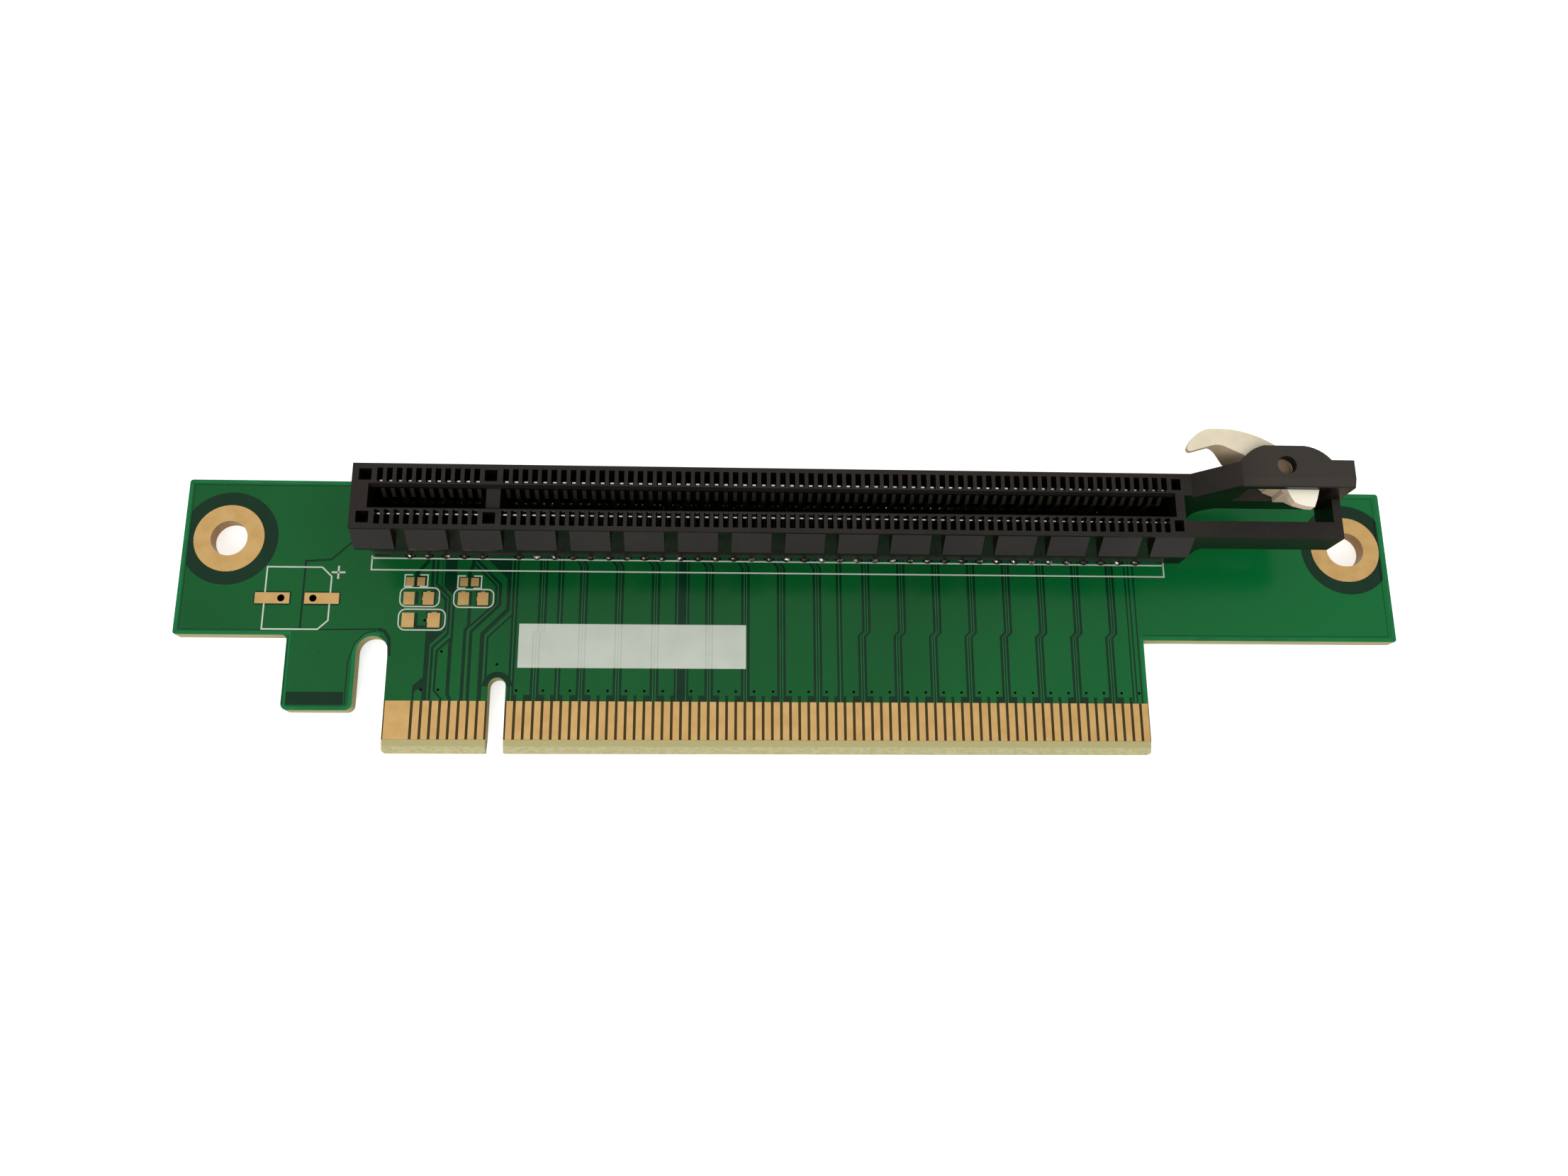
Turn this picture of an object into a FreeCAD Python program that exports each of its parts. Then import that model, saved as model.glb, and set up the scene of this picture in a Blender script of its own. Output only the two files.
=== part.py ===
import FreeCAD, Part
import math
import os
import re
import Sketcher

# PCI Express x16 riser card: a bare circuit board with a gold-fingered edge tab, and a
# through-hole slot connector with a pivoting retention lever standing on it.
#
# Frame: x runs along the connector, y from the gold fingers towards the rear edge, z up.
# x = 0 is the centre line of the key notch in the edge tab, y = 0 is the centre line of
# the card slot and z = 0 is the underside of the board. All sizes are in millimetres.

SIZES = (
    # circuit board
    ("board_thick", 1.6, "thickness of the laminate"),
    ("board_left", -35.2, "x of the left end"),
    ("board_right", 101.3, "x of the right end"),
    ("board_rear", 5.5, "y of the rear edge"),
    ("wing_front", -12.3, "y of the front edge of both wings"),
    ("corner_round", 0.35, "radius of the four outer corners"),
    ("guide_left", -22.95, "x of the left side of the guide tab"),
    ("guide_front", -20.6, "y of the front of the guide tab"),
    ("guide_round", 0.75, "radius of the guide tab's front corners"),
    ("guide_hollow", 0.6, "radius where the left wing meets the guide tab"),
    ("gap_width", 3.4, "width of the round-ended gap between the tabs"),
    ("gap_round_y", -14.07, "y of the centre of the gap's round end"),
    ("tab_left", -12.0, "x of the left side of the finger tab"),
    ("tab_right", 71.95, "x of the right side of the finger tab"),
    ("tab_front", -25.1, "y of the front of the finger tab"),
    ("tab_round", 0.3, "radius of the finger tab's front corners"),
    ("bevel_length", 1.35, "length of the lead-in bevel"),
    ("bevel_depth", 0.4, "depth of the lead-in bevel on each side"),
    ("key_width", 1.9, "width of the key notch"),
    ("key_round_y", -17.9, "y of the centre of the key notch's round end"),
    # pins, fingers and lands
    ("pin_pitch", 1.0, "distance between neighbouring pins"),
    ("short_first", -11.5, "x of pin 1"),
    ("short_pins", 11, "pins left of the key"),
    ("long_first", 1.5, "x of the first pin right of the key"),
    ("long_pins", 71, "pins right of the key"),
    ("copper_thick", 0.05, "height of plated copper above the laminate"),
    ("finger_width", 0.7, "width of a finger"),
    ("finger_length", 4.2, "length of a finger"),
    ("finger_rear", -19.52, "y of the rear end of the fingers"),
    ("joined_pins", 3, "pins under the joined finger on top"),
    ("joined_left", -11.85, "x of the left side of the joined finger"),
    # mounting holes
    ("hole_left_x", -30.26, "x of the left mounting hole"),
    ("hole_right_x", 96.55, "x of the right mounting hole"),
    ("hole_row_y", -1.35, "y of both mounting holes"),
    ("hole_dia", 4.0, "diameter of the mounting holes"),
    ("hole_stretch", 0.35, "extra length of the right hole along x"),
    ("barrel_wall", 0.2, "wall of the plated barrels"),
    ("ring_dia", 7.7, "diameter of the plated rings"),
    # capacitor lands
    ("drill_dia", 0.8, "drilled holes of the large capacitor"),
    ("drill_row_y", -8.16, "y of both drilled holes"),
    ("drill_left_x", -23.98, "x of the left drilled hole"),
    ("drill_spacing", 3.46, "distance between the drilled holes"),
    ("oblong_length", 3.75, "length of the large capacitor's lands"),
    ("oblong_width", 1.25, "width of the large capacitor's lands"),
    ("oblong_offset", 0.95, "distance of the lands' centres outside the holes"),
    ("large_width", 1.35, "land width of the large chip capacitor"),
    ("large_length", 1.65, "land length of the large chip capacitor"),
    ("large_spacing", 2.8, "land spacing of the large chip capacitor"),
    ("large_centre_x", -8.67, "x of the large chip capacitor"),
    ("large_centre_y", -10.55, "y of the large chip capacitor"),
    ("medium_width", 1.2, "land width of the medium chip capacitors"),
    ("medium_length", 1.46, "land length of the medium chip capacitors"),
    ("medium_spacing", 2.12, "land spacing of the medium chip capacitors"),
    ("medium_first_x", -9.05, "x of the first medium chip capacitor"),
    ("medium_next_x", -3.1, "x of the second medium chip capacitor"),
    ("medium_centre_y", -8.08, "y of the medium chip capacitors"),
    ("small_width", 0.86, "land width of the small chip capacitors"),
    ("small_length", 0.98, "land length of the small chip capacitors"),
    ("small_spacing", 1.2, "land spacing of the small chip capacitors"),
    ("small_first_x", -9.5, "x of the first small chip capacitor"),
    ("small_next_x", -3.6, "x of the second small chip capacitor"),
    ("small_centre_y", -6.16, "y of the small chip capacitors"),
    # connector housing
    ("shift", 0.2, "x of the connector against the edge fingers"),
    ("housing_height", 11.25, "height of the housing above the board"),
    ("housing_left", -14.15, "x of the left end of the housing"),
    ("housing_end", 76.8, "x where the housing stops reaching down to the board"),
    ("standoff", 0.4, "gap under the housing"),
    ("foot_length", 1.3, "length of the feet under both ends"),
    ("wall_y", 3.2, "half width of the housing at its walls"),
    ("lip_y", 3.57, "half width of the housing at its top lip"),
    ("lip_height", 0.4, "height of the top lip"),
    ("rib_y", 4.95, "reach of the front ribs from the slot's centre line"),
    ("rib_under", 3.2, "depth of the ribs' underside below the top"),
    ("rib_edge", 0.4, "height of the ribs' outer edge"),
    ("rib_end", 74.7, "x of the right end of the ribs"),
    ("notch_first", -9.95, "x of the left side of the first notch"),
    ("notch_width", 1.45, "width of the notches between the ribs"),
    ("notch_pitch", 5.64, "distance between the notches"),
    ("notch_count", 15, "notches between the ribs"),
    ("slot_left", -12.4, "x of the left end of the card slot"),
    ("slot_right", 72.8, "x of the right end of the card slot"),
    ("slot_half", 1.1, "half width of the card slot at its mouth"),
    ("slot_depth", 8.9, "depth of the card slot"),
    ("bridge_left", -0.34, "x of the left side of the key bridge"),
    ("bridge_right", 1.12, "x of the right side of the key bridge"),
    ("bridge_drop", 0.6, "depth of the key bridge below the top"),
    ("web_height", 0.8, "height of the web along the slot's mouth"),
    ("mouth_bevel", 0.25, "width of the lead-in bevel along the slot's mouth"),
    ("mouth_depth", 0.45, "depth of the lead-in bevel of the slot's mouth"),
    ("cavity_in", 1.5, "inner side of the contact cavities"),
    ("cavity_out", 3.07, "outer side of the contact cavities"),
    ("cavity_width", 0.6, "width of the contact cavities"),
    ("trough_height", 2.0, "height of the open troughs under the cavities"),
    ("trough_left", -11.9, "x of the left end of the troughs"),
    ("trough_right", 72.3, "x of the right end of the troughs"),
    ("floor_half", 1.15, "half width of the beam under the slot"),
    ("blind_depth", 3.0, "depth of the blind pockets beside the rows"),
    ("blind_in", 1.7, "inner side of the blind pockets"),
    ("blind_out", 2.96, "outer side of the blind pockets"),
    ("blind_left", -13.45, "x of the left blind pockets"),
    ("blind_mid", -0.5, "x of the blind pockets beside the key"),
    ("blind_right", 72.5, "x of the right blind pockets"),
    ("blind_end_width", 1.3, "width of the blind pockets at the left end and the key"),
    ("blind_right_width", 1.0, "width of the blind pockets at the right end"),
    # contacts
    ("strip_thick", 0.2, "thickness of the contact strip"),
    ("strip_width", 0.4, "width of the contact strip"),
    ("tail_reach", 1.3, "length of the tails under the board"),
    ("touch_y", 0.85, "contact point from the slot's centre line"),
    ("touch_drop", 2.6, "depth of the contact point below the top"),
    ("tip_y", 1.75, "tip from the slot's centre line"),
    ("tip_drop", 0.65, "depth of the tips below the top"),
    ("bend_height", 2.8, "height of the lower bend above the board"),
    # latch frame
    ("latch_end", 90.87, "x of the right end of the latch frame"),
    ("arm_height", 4.15, "height of the two arms of the latch frame"),
    ("sweep_drop", 2.0, "height of the hollow under the arms' roots"),
    ("sweep_length", 1.9, "length of the hollow under the arms' roots"),
    ("sweep_round", 3.4, "radius of the hollow under the arms' roots"),
    ("window_left", 73.79, "x of the left end of the latch window"),
    ("window_right", 89.93, "x of the right end of the latch window"),
    ("window_front", -1.73, "y of the front of the latch window"),
    ("window_rear", 1.1, "y of the rear of the latch window"),
    ("hump_height", 4.0, "height of the hump above the connector's top"),
    ("hump_front", 0.87, "y of the front of the hump"),
    ("hump_left", 78.7, "x of the left side of the hump"),
    ("hump_side", 3.85, "y where the hump's round sides start"),
    ("hump_rear", 5.4, "y of the rear of the hump"),
    ("hump_flat_left", 81.3, "x of the left end of the hump's flat rear"),
    ("hump_flat_right", 85.6, "x of the right end of the hump's flat rear"),
    ("hump_shoulder", 88.45, "x of the right end of the hump's round side"),
    ("hump_round", 4.2, "radius of the hump's round sides"),
    ("hump_plate", 1.05, "thickness of the plate over the lever"),
    ("hump_slope", 0.9, "width of the sloping strip along the hump's front edge"),
    ("hump_fall", 0.35, "fall of the sloping strip"),
    ("lever_gap", 0.15, "gap above and below the lever"),
    ("lever_height", 4.2, "height of the lever"),
    ("bay_left", 79.6, "x of the left end of the lever's bay"),
    ("bay_right", 88.7, "x of the right end of the lever's bay"),
    ("bay_side", 3.4, "y where the bay opens to the left"),
    ("bay_mouth", 77.6, "x of the left end of the bay's rear mouth"),
    # retention lever
    ("pivot_x", 83.57, "x of the pivot"),
    ("pivot_y", 3.22, "y of the pivot"),
    ("pivot_dia", 2.05, "diameter of the pivot holes"),
    ("pivot_fit", 0.05, "gap round the pivot pins"),
    ("pin_recess", 0.55, "depth of the pivot pin's end below the hump's top"),
    ("pin_slope", 0.6, "fall of the pivot pin's sloping end"),
    ("hub_radius", 1.25, "radius of the lever's hub"),
    ("toe_height", 3.2, "height of the toe under the hook"),
    ("horn_lip", 0.65, "thickness of the horn at its tip"),
    ("horn_thin", 75.8, "x where the horn starts to thicken"),
    ("horn_full", 78.8, "x where the horn reaches its full height"),
    ("horn_tip", 73.0, "x left of the horn's tip"),
)

# Outlines of the lever seen from above, as places from the pivot: x, y and, where the edge
# that leaves the corner is an arc, its radius (negative where the arc is hollow).
HORN = (
    (-10.07, 2.32, -3.6),
    (-7.6, 4.47, -25.0),
    (-5.22, 4.41, -11.0),
    (-0.68, 2.78),
    (1.3, 1.45),
    (0.0, -1.2),
    (-2.0, 0.2),
    (-4.12, 1.6),
    (-6.12, 2.54, 2.2),
    (-7.45, 2.54),
    (-9.67, 1.89, -0.35),
)
HOOK = (
    (-0.6, -0.9),
    (0.3, -2.33),
    (0.6, -3.1),
    (0.95, -3.7),
    (1.5, -3.95),
    (2.3, -4.15),
    (3.05, -4.2),
    (3.4, -3.4),
    (3.74, -2.31),
    (1.9, 0.6),
    (0.6, 1.2),
)
TOE = (
    (-0.67, -1.22),
    (0.43, -1.65),
    (0.43, -2.27),
    (1.63, -2.27),
    (2.78, -2.85),
    (3.4, -2.5),
    (1.9, 0.6),
    (0.6, 1.2),
)

doc = FreeCAD.newDocument("pcie_riser_card")
sheet = doc.addObject("Spreadsheet::Sheet", "dims")
ALIASES = {name for name, _, _ in SIZES}
for row, (alias, number, meaning) in enumerate(SIZES, start=1):
    sheet.set(f"A{row}", meaning)
    sheet.set(f"B{row}", str(number))
    sheet.setAlias(f"B{row}", alias)
doc.recompute()

# Places that several pieces share.
TOP = "board_thick + housing_height"
HUMP_TOP = f"{TOP} + hump_height"
ARM_UNDER = f"{TOP} - arm_height"
BAY_TOP = f"{HUMP_TOP} - hump_plate"
LEVER_UNDER = f"{BAY_TOP} - lever_gap - lever_height"
SLOT_FLOOR = f"{TOP} - slot_depth"
TROUGH_TOP = "board_thick + standoff + trough_height"
GAP_LEFT = "tab_left - gap_width"
SHORT_SHIFTED = "short_first + shift"
LONG_SHIFTED = "long_first + shift"

# Every second pin has its tail in the outer row: the even pins, counted from the left end.
TAIL_ROWS = {
    "outer": (("short_first + pin_pitch", "(short_pins - 1) / 2"), ("long_first", "(long_pins + 1) / 2")),
    "inner": (("short_first", "(short_pins + 1) / 2"), ("long_first + pin_pitch", "(long_pins - 1) / 2")),
}
TAIL_SIDES = {
    "outer": ("cavity_out - strip_thick", "cavity_out"),
    "inner": ("floor_half", "floor_half + strip_thick"),
}


def bound(text):
    """Expression text with every alias looked up in the sheet."""
    return re.sub(r"\b[a-z_]+\b", lambda word: f"dims.{word[0]}" if word[0] in ALIASES else word[0], str(text))


def number_of(text):
    return float(sheet.evalExpression(bound(text)))


def bind(item, prop, text):
    item.setExpression(prop, bound(text))


def origin_part(body, role):
    return next(item for item in body.Origin.OriginFeatures if item.Role == role)


def new_body(label):
    body = doc.addObject("PartDesign::Body", label)
    body.Label = label
    body.AllowCompound = True
    return body


def new_sketch(body, plane, offset, *outlines):
    """Sketch on one of the body's base planes, moved along the plane's normal."""
    sketch = body.newObject("Sketcher::SketchObject", f"{body.Label}_sketch")
    sketch.AttachmentSupport = [(origin_part(body, plane), "")]
    sketch.MapMode = "FlatFace"
    bind(sketch, "AttachmentOffset.Base.z", offset)
    for outline in outlines:
        outline(sketch)
    doc.recompute()
    return sketch


def fix(sketch, edge, end, place):
    """Fix one end of an edge at a place given by two expressions."""
    for kind, text in zip(("DistanceX", "DistanceY"), place):
        index = sketch.addConstraint(Sketcher.Constraint(kind, -1, 1, edge, end, number_of(text)))
        bind(sketch, f"Constraints[{index}]", text)


def arc_between(start, end, radius):
    """Arc that bulges to the right of the way from start to end, or to its left if negative."""
    chord = end - start
    rise = math.sqrt(radius ** 2 - (chord.Length / 2) ** 2)
    normal = FreeCAD.Vector(-chord.y, chord.x, 0).normalize() * math.copysign(rise, radius)
    centre = (start + end) * 0.5 + normal
    first, last = (start, end) if radius > 0 else (end, start)
    angles = [math.atan2(point.y - centre.y, point.x - centre.x) for point in (first, last)]
    circle = Part.Circle(centre, FreeCAD.Vector(0, 0, 1), abs(radius))
    return Part.ArcOfCircle(circle, *angles)


def closed(*corners):
    """Outline through corners given as x, y and, for an arc, the radius of the edge after it."""
    def draw(sketch):
        first = sketch.GeometryCount
        count = len(corners)
        points = [FreeCAD.Vector(number_of(corner[0]), number_of(corner[1]), 0) for corner in corners]
        ends = []
        for index, corner in enumerate(corners):
            start, end = points[index], points[(index + 1) % count]
            radius = number_of(corner[2]) if len(corner) == 3 else 0
            if radius:
                sketch.addGeometry(arc_between(start, end, radius))
                index_radius = sketch.addConstraint(Sketcher.Constraint("Radius", first + index, abs(radius)))
                bind(sketch, f"Constraints[{index_radius}]", f"abs({corner[2]})")
            else:
                sketch.addGeometry(Part.LineSegment(start, end))
            ends.append((1, 2) if radius >= 0 else (2, 1))
        for index, corner in enumerate(corners):
            after = (index + 1) % count
            sketch.addConstraint(Sketcher.Constraint(
                "Coincident", first + index, ends[index][1], first + after, ends[after][0]))
            fix(sketch, first + index, ends[index][0], corner)
    return draw


def rectangle(left, right, low, high):
    return closed((left, low), (right, low), (right, high), (left, high))


def ring(x, y, radius):
    """Full circle."""
    def draw(sketch):
        centre = FreeCAD.Vector(number_of(x), number_of(y), 0)
        edge = sketch.addGeometry(Part.Circle(centre, FreeCAD.Vector(0, 0, 1), number_of(radius)))
        index = sketch.addConstraint(Sketcher.Constraint("Radius", edge, number_of(radius)))
        bind(sketch, f"Constraints[{index}]", radius)
        fix(sketch, edge, 3, (x, y))
    return draw


def stadium(x, y, radius, half_stretch):
    """Circle stretched along x: two half circles and two straight sides."""
    def draw(sketch):
        rim = number_of(radius)
        centre_y = number_of(y)
        edges = []
        for side, start in ((1, -math.pi / 2), (-1, math.pi / 2)):
            centre = FreeCAD.Vector(number_of(x) + side * number_of(half_stretch), centre_y, 0)
            circle = Part.Circle(centre, FreeCAD.Vector(0, 0, 1), rim)
            edges.append(sketch.addGeometry(Part.ArcOfCircle(circle, start, start + math.pi)))
            fix(sketch, edges[-1], 3, (f"{x} + {side} * {half_stretch}", y))
        for leaving, arriving in (edges, edges[::-1]):
            start = sketch.getPoint(leaving, 2)
            end = sketch.getPoint(arriving, 1)
            line = sketch.addGeometry(Part.LineSegment(start, end))
            sketch.addConstraint(Sketcher.Constraint("Tangent", leaving, 2, line, 1))
            sketch.addConstraint(Sketcher.Constraint("Tangent", line, 2, arriving, 1))
        index = sketch.addConstraint(Sketcher.Constraint("Radius", edges[0], rim))
        bind(sketch, f"Constraints[{index}]", radius)
    return draw


def add_feature(body, kind, sketch, length):
    feature = body.newObject(f"PartDesign::{kind}", f"{body.Label}_{kind.lower()}")
    feature.Profile = sketch
    bind(feature, "Length", length)
    sketch.Visibility = False
    return feature


def pad(body, sketch, length, both_ways=False):
    feature = add_feature(body, "Pad", sketch, length)
    feature.SideType = "Symmetric" if both_ways else "One side"
    doc.recompute()
    return feature


def pocket(body, sketch, length):
    """Cut against the normal of the sketch, checked to take material away."""
    before = body.Shape.Volume
    feature = add_feature(body, "Pocket", sketch, length)
    doc.recompute()
    if body.Shape.Volume >= before:
        raise ValueError(f"{feature.Label} cuts nothing")
    return feature


def repeat(body, feature, spacing, count):
    """Row of a feature along x."""
    pattern = body.newObject("PartDesign::LinearPattern", f"{feature.Label}_row")
    pattern.Originals = [feature]
    pattern.Direction = (origin_part(body, "X_Axis"), [""])
    pattern.Mode = "Spacing"
    bind(pattern, "Offset", spacing)
    bind(pattern, "Occurrences", count)
    body.Tip = pattern
    doc.recompute()
    return pattern


def upright_edges(feature, places):
    """Names of the upright edges of a feature that stand at the given places."""
    names = []
    for x, y in places:
        spot = FreeCAD.Vector(number_of(x), number_of(y), 0)
        for index, edge in enumerate(feature.Shape.Edges, start=1):
            flat = [FreeCAD.Vector(vertex.X, vertex.Y, 0) for vertex in edge.Vertexes]
            if len(flat) == 2 and all(point.isEqual(spot, 1e-6) for point in flat):
                names.append(f"Edge{index}")
    return names


def round_edges(body, radius, places):
    base = body.Tip
    fillet = body.newObject("PartDesign::Fillet", f"{body.Label}_fillet")
    fillet.Base = (base, upright_edges(base, places))
    bind(fillet, "Radius", radius)
    doc.recompute()


def both_sides(inner, outer, left, right):
    """The same rectangle in front of and behind the slot."""
    return (
        rectangle(left, right, f"-({outer})", f"-({inner})"),
        rectangle(left, right, inner, outer),
    )


def circuit_board():
    body = new_body("circuit_board")
    outline = closed(
        ("board_left", "wing_front"), ("guide_left", "wing_front"), ("guide_left", "guide_front"),
        (GAP_LEFT, "guide_front"), (GAP_LEFT, "gap_round_y"), ("tab_left", "gap_round_y"),
        ("tab_left", "tab_front"), ("tab_right", "tab_front"), ("tab_right", "wing_front"),
        ("board_right", "wing_front"), ("board_right", "board_rear"), ("board_left", "board_rear"))
    pad(body, new_sketch(body, "XY_Plane", "0", outline), "board_thick")
    round_edges(body, "corner_round", (
        ("board_left", "wing_front"), ("board_right", "wing_front"),
        ("board_right", "board_rear"), ("board_left", "board_rear")))
    round_edges(body, "guide_round", (("guide_left", "guide_front"), (GAP_LEFT, "guide_front")))
    round_edges(body, "guide_hollow", (("guide_left", "wing_front"),))
    round_edges(body, "tab_round", (("tab_left", "tab_front"), ("tab_right", "tab_front")))

    def through(*outlines):
        return pocket(body, new_sketch(body, "XY_Plane", "board_thick", *outlines), "board_thick")

    through(ring("tab_left - gap_width / 2", "gap_round_y", "gap_width / 2"))
    through(rectangle("-key_width / 2", "key_width / 2", "tab_front", "key_round_y"))
    through(ring("0", "key_round_y", "key_width / 2"))
    bore = "hole_dia / 2 + barrel_wall"
    through(
        ring("hole_left_x", "hole_row_y", bore),
        stadium("hole_right_x", "hole_row_y", bore, "hole_stretch / 2"),
        ring("drill_left_x", "drill_row_y", "drill_dia / 2"),
        ring("drill_left_x + drill_spacing", "drill_row_y", "drill_dia / 2"))
    bevel_rear = "tab_front + bevel_length"
    for face, deep in (("board_thick", "board_thick - bevel_depth"), ("0", "bevel_depth")):
        wedge = closed((bevel_rear, face), ("tab_front", deep), ("tab_front", face))
        pocket(body, new_sketch(body, "YZ_Plane", "tab_right", wedge), "tab_right - tab_left")


def edge_fingers(label, floor, joined):
    """Row of plated fingers; one side has its first fingers joined into a wide one."""
    body = new_body(label)
    front = "finger_rear - finger_length"
    first, pins = "short_first", "short_pins"
    if joined:
        last_joined = "short_first + (joined_pins - 1) * pin_pitch + finger_width / 2"
        wide = rectangle("joined_left", last_joined, front, "finger_rear")
        pad(body, new_sketch(body, "XY_Plane", floor, wide), "copper_thick")
        first, pins = "short_first + joined_pins * pin_pitch", "short_pins - joined_pins"
    for start, count in ((first, pins), ("long_first", "long_pins")):
        finger = rectangle(f"{start} - finger_width / 2", f"{start} + finger_width / 2", front, "finger_rear")
        plate = pad(body, new_sketch(body, "XY_Plane", floor, finger), "copper_thick")
        repeat(body, plate, "pin_pitch", count)


def mounting_ring(body, outline, x, *stretch):
    """Plated through hole: a ring on each face of the board and the barrel between them."""
    rim = outline(x, "hole_row_y", "ring_dia / 2", *stretch)
    barrel = outline(x, "hole_row_y", "hole_dia / 2 + barrel_wall", *stretch)
    bore = outline(x, "hole_row_y", "hole_dia / 2", *stretch)
    pad(body, new_sketch(body, "XY_Plane", "-copper_thick", rim), "copper_thick")
    pad(body, new_sketch(body, "XY_Plane", "0", barrel), "board_thick")
    pad(body, new_sketch(body, "XY_Plane", "board_thick", rim), "copper_thick")
    pocket(body, new_sketch(body, "XY_Plane", "board_thick + copper_thick", bore),
           "board_thick + 2 * copper_thick")


def oblong_lands():
    body = new_body("electrolytic_lands")
    for drill_x, away in (("drill_left_x", -1), ("drill_left_x + drill_spacing", 1)):
        centre = f"{drill_x} + {away} * oblong_offset"
        land = rectangle(
            f"{centre} - oblong_length / 2", f"{centre} + oblong_length / 2",
            "drill_row_y - oblong_width / 2", "drill_row_y + oblong_width / 2")
        drill = ring(drill_x, "drill_row_y", "drill_dia / 2")
        pad(body, new_sketch(body, "XY_Plane", "board_thick", land, drill), "copper_thick")


def chip_lands(size, centres, centre_y):
    """Pairs of flat lands for chip capacitors of one size."""
    body = new_body(f"{size}_capacitor_lands")
    low = f"{centre_y} - {size}_length / 2"
    high = f"{centre_y} + {size}_length / 2"
    for centre in centres:
        for side in (-1, 1):
            middle = f"{centre} + {side} * {size}_spacing / 2"
            land = rectangle(f"{middle} - {size}_width / 2", f"{middle} + {size}_width / 2", low, high)
            pad(body, new_sketch(body, "XY_Plane", "board_thick", land), "copper_thick")


def housing_body(body):
    """Long moulding: core with a top lip, feet, and the ribbed front."""
    base = "board_thick + standoff"
    lip_under = f"{TOP} - lip_height"
    core = closed(
        ("-wall_y", base), ("wall_y", base), ("wall_y", lip_under), ("lip_y", lip_under),
        ("lip_y", TOP), ("-lip_y", TOP), ("-lip_y", lip_under), ("-wall_y", lip_under))
    pad(body, new_sketch(body, "YZ_Plane", "housing_left", core), "housing_end - housing_left")
    feet = [rectangle(left, right, "-wall_y", "wall_y") for left, right in (
        ("housing_left", "housing_left + foot_length"), ("housing_end - 2 * foot_length", "housing_end"))]
    pad(body, new_sketch(body, "XY_Plane", "board_thick", *feet), "standoff")
    rib_under = f"{TOP} - rib_under"
    rib = closed(
        ("-wall_y", rib_under), ("-wall_y", lip_under), ("-lip_y", lip_under),
        ("-rib_y", f"{rib_under} + rib_edge"), ("-rib_y", rib_under))
    pad(body, new_sketch(body, "YZ_Plane", "housing_left", rib), "rib_end - housing_left")
    notch = rectangle("-rib_y", "-wall_y", rib_under, lip_under)
    cut = pocket(body, new_sketch(body, "YZ_Plane", "notch_first + notch_width", notch), "notch_width")
    repeat(body, cut, "notch_pitch", "notch_count")


def latch_frame(body):
    """Two arms round the latch window, with the hump that carries the lever."""
    arms = rectangle("window_left", "latch_end", ARM_UNDER, TOP)
    pad(body, new_sketch(body, "XZ_Plane", "0", arms), "2 * lip_y", both_ways=True)
    sweep = closed(
        ("housing_end", f"{ARM_UNDER} - sweep_drop", "-sweep_round"),
        ("housing_end + sweep_length", ARM_UNDER), ("housing_end", ARM_UNDER))
    pad(body, new_sketch(body, "XZ_Plane", "0", sweep), "2 * wall_y", both_ways=True)
    ramp = closed(
        ("hump_left - hump_height", TOP), ("hump_left", TOP), ("hump_left", HUMP_TOP))
    pad(body, new_sketch(body, "XZ_Plane", "-lip_y", ramp), "lip_y - hump_front")
    hump = closed(
        ("hump_left", "hump_front"), ("latch_end", "hump_front"), ("latch_end", "hump_side"),
        ("hump_shoulder", "hump_side", "hump_round"), ("hump_flat_right", "hump_rear"),
        ("hump_flat_left", "hump_rear", "hump_round"), ("hump_left", "lip_y"))
    pad(body, new_sketch(body, "XY_Plane", ARM_UNDER, hump), "arm_height + hump_height")
    slope = closed(
        ("hump_front", f"{HUMP_TOP} - hump_fall"), ("hump_front + hump_slope", HUMP_TOP),
        ("hump_front", HUMP_TOP))
    pocket(body, new_sketch(body, "YZ_Plane", "latch_end", slope), "latch_end - hump_left")
    window = rectangle("window_left", "window_right", "window_front", "window_rear")
    pocket(body, new_sketch(body, "XY_Plane", TOP, window), "housing_height")
    bay = closed(
        ("bay_left", "window_front"), ("bay_right", "window_front"), ("bay_right", "hump_rear"),
        ("bay_mouth", "hump_rear"), ("bay_mouth", "lip_y"), ("bay_left", "bay_side"))
    pocket(body, new_sketch(body, "XY_Plane", BAY_TOP, bay), "lever_height + 2 * lever_gap")
    pivot = ring("pivot_x", "pivot_y", "pivot_dia / 2")
    pocket(body, new_sketch(body, "XY_Plane", HUMP_TOP, pivot), "arm_height + hump_height")


def card_slot(body):
    """Slot with its key bridge, the webs along its mouth and the troughs under the cavities."""
    web_under = f"{TOP} - web_height"
    mouth = closed(
        ("-cavity_in", SLOT_FLOOR), ("cavity_in", SLOT_FLOOR), ("cavity_in", web_under),
        ("slot_half", web_under), ("slot_half", TOP), ("-slot_half", TOP),
        ("-slot_half", web_under), ("-cavity_in", web_under))
    for left, right in (("slot_left", "bridge_left"), ("bridge_right", "slot_right")):
        pocket(body, new_sketch(body, "YZ_Plane", right, mouth), f"{right} - ({left})")
    bevel = closed(
        ("-slot_half", f"{TOP} - mouth_depth"), ("slot_half", f"{TOP} - mouth_depth"),
        ("slot_half + mouth_bevel", TOP), ("-slot_half - mouth_bevel", TOP))
    pocket(body, new_sketch(body, "YZ_Plane", "slot_right", bevel), "slot_right - (slot_left)")
    bridge = rectangle("bridge_left", "bridge_right", "-slot_half", "slot_half")
    pocket(body, new_sketch(body, "XY_Plane", TOP, bridge), "bridge_drop")
    troughs = (
        rectangle("floor_half", "cavity_out", "board_thick + standoff", TROUGH_TOP),
        rectangle("-cavity_out", "-floor_half", "board_thick + standoff", TROUGH_TOP))
    pocket(body, new_sketch(body, "YZ_Plane", "trough_right", *troughs), "trough_right - trough_left")


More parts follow.
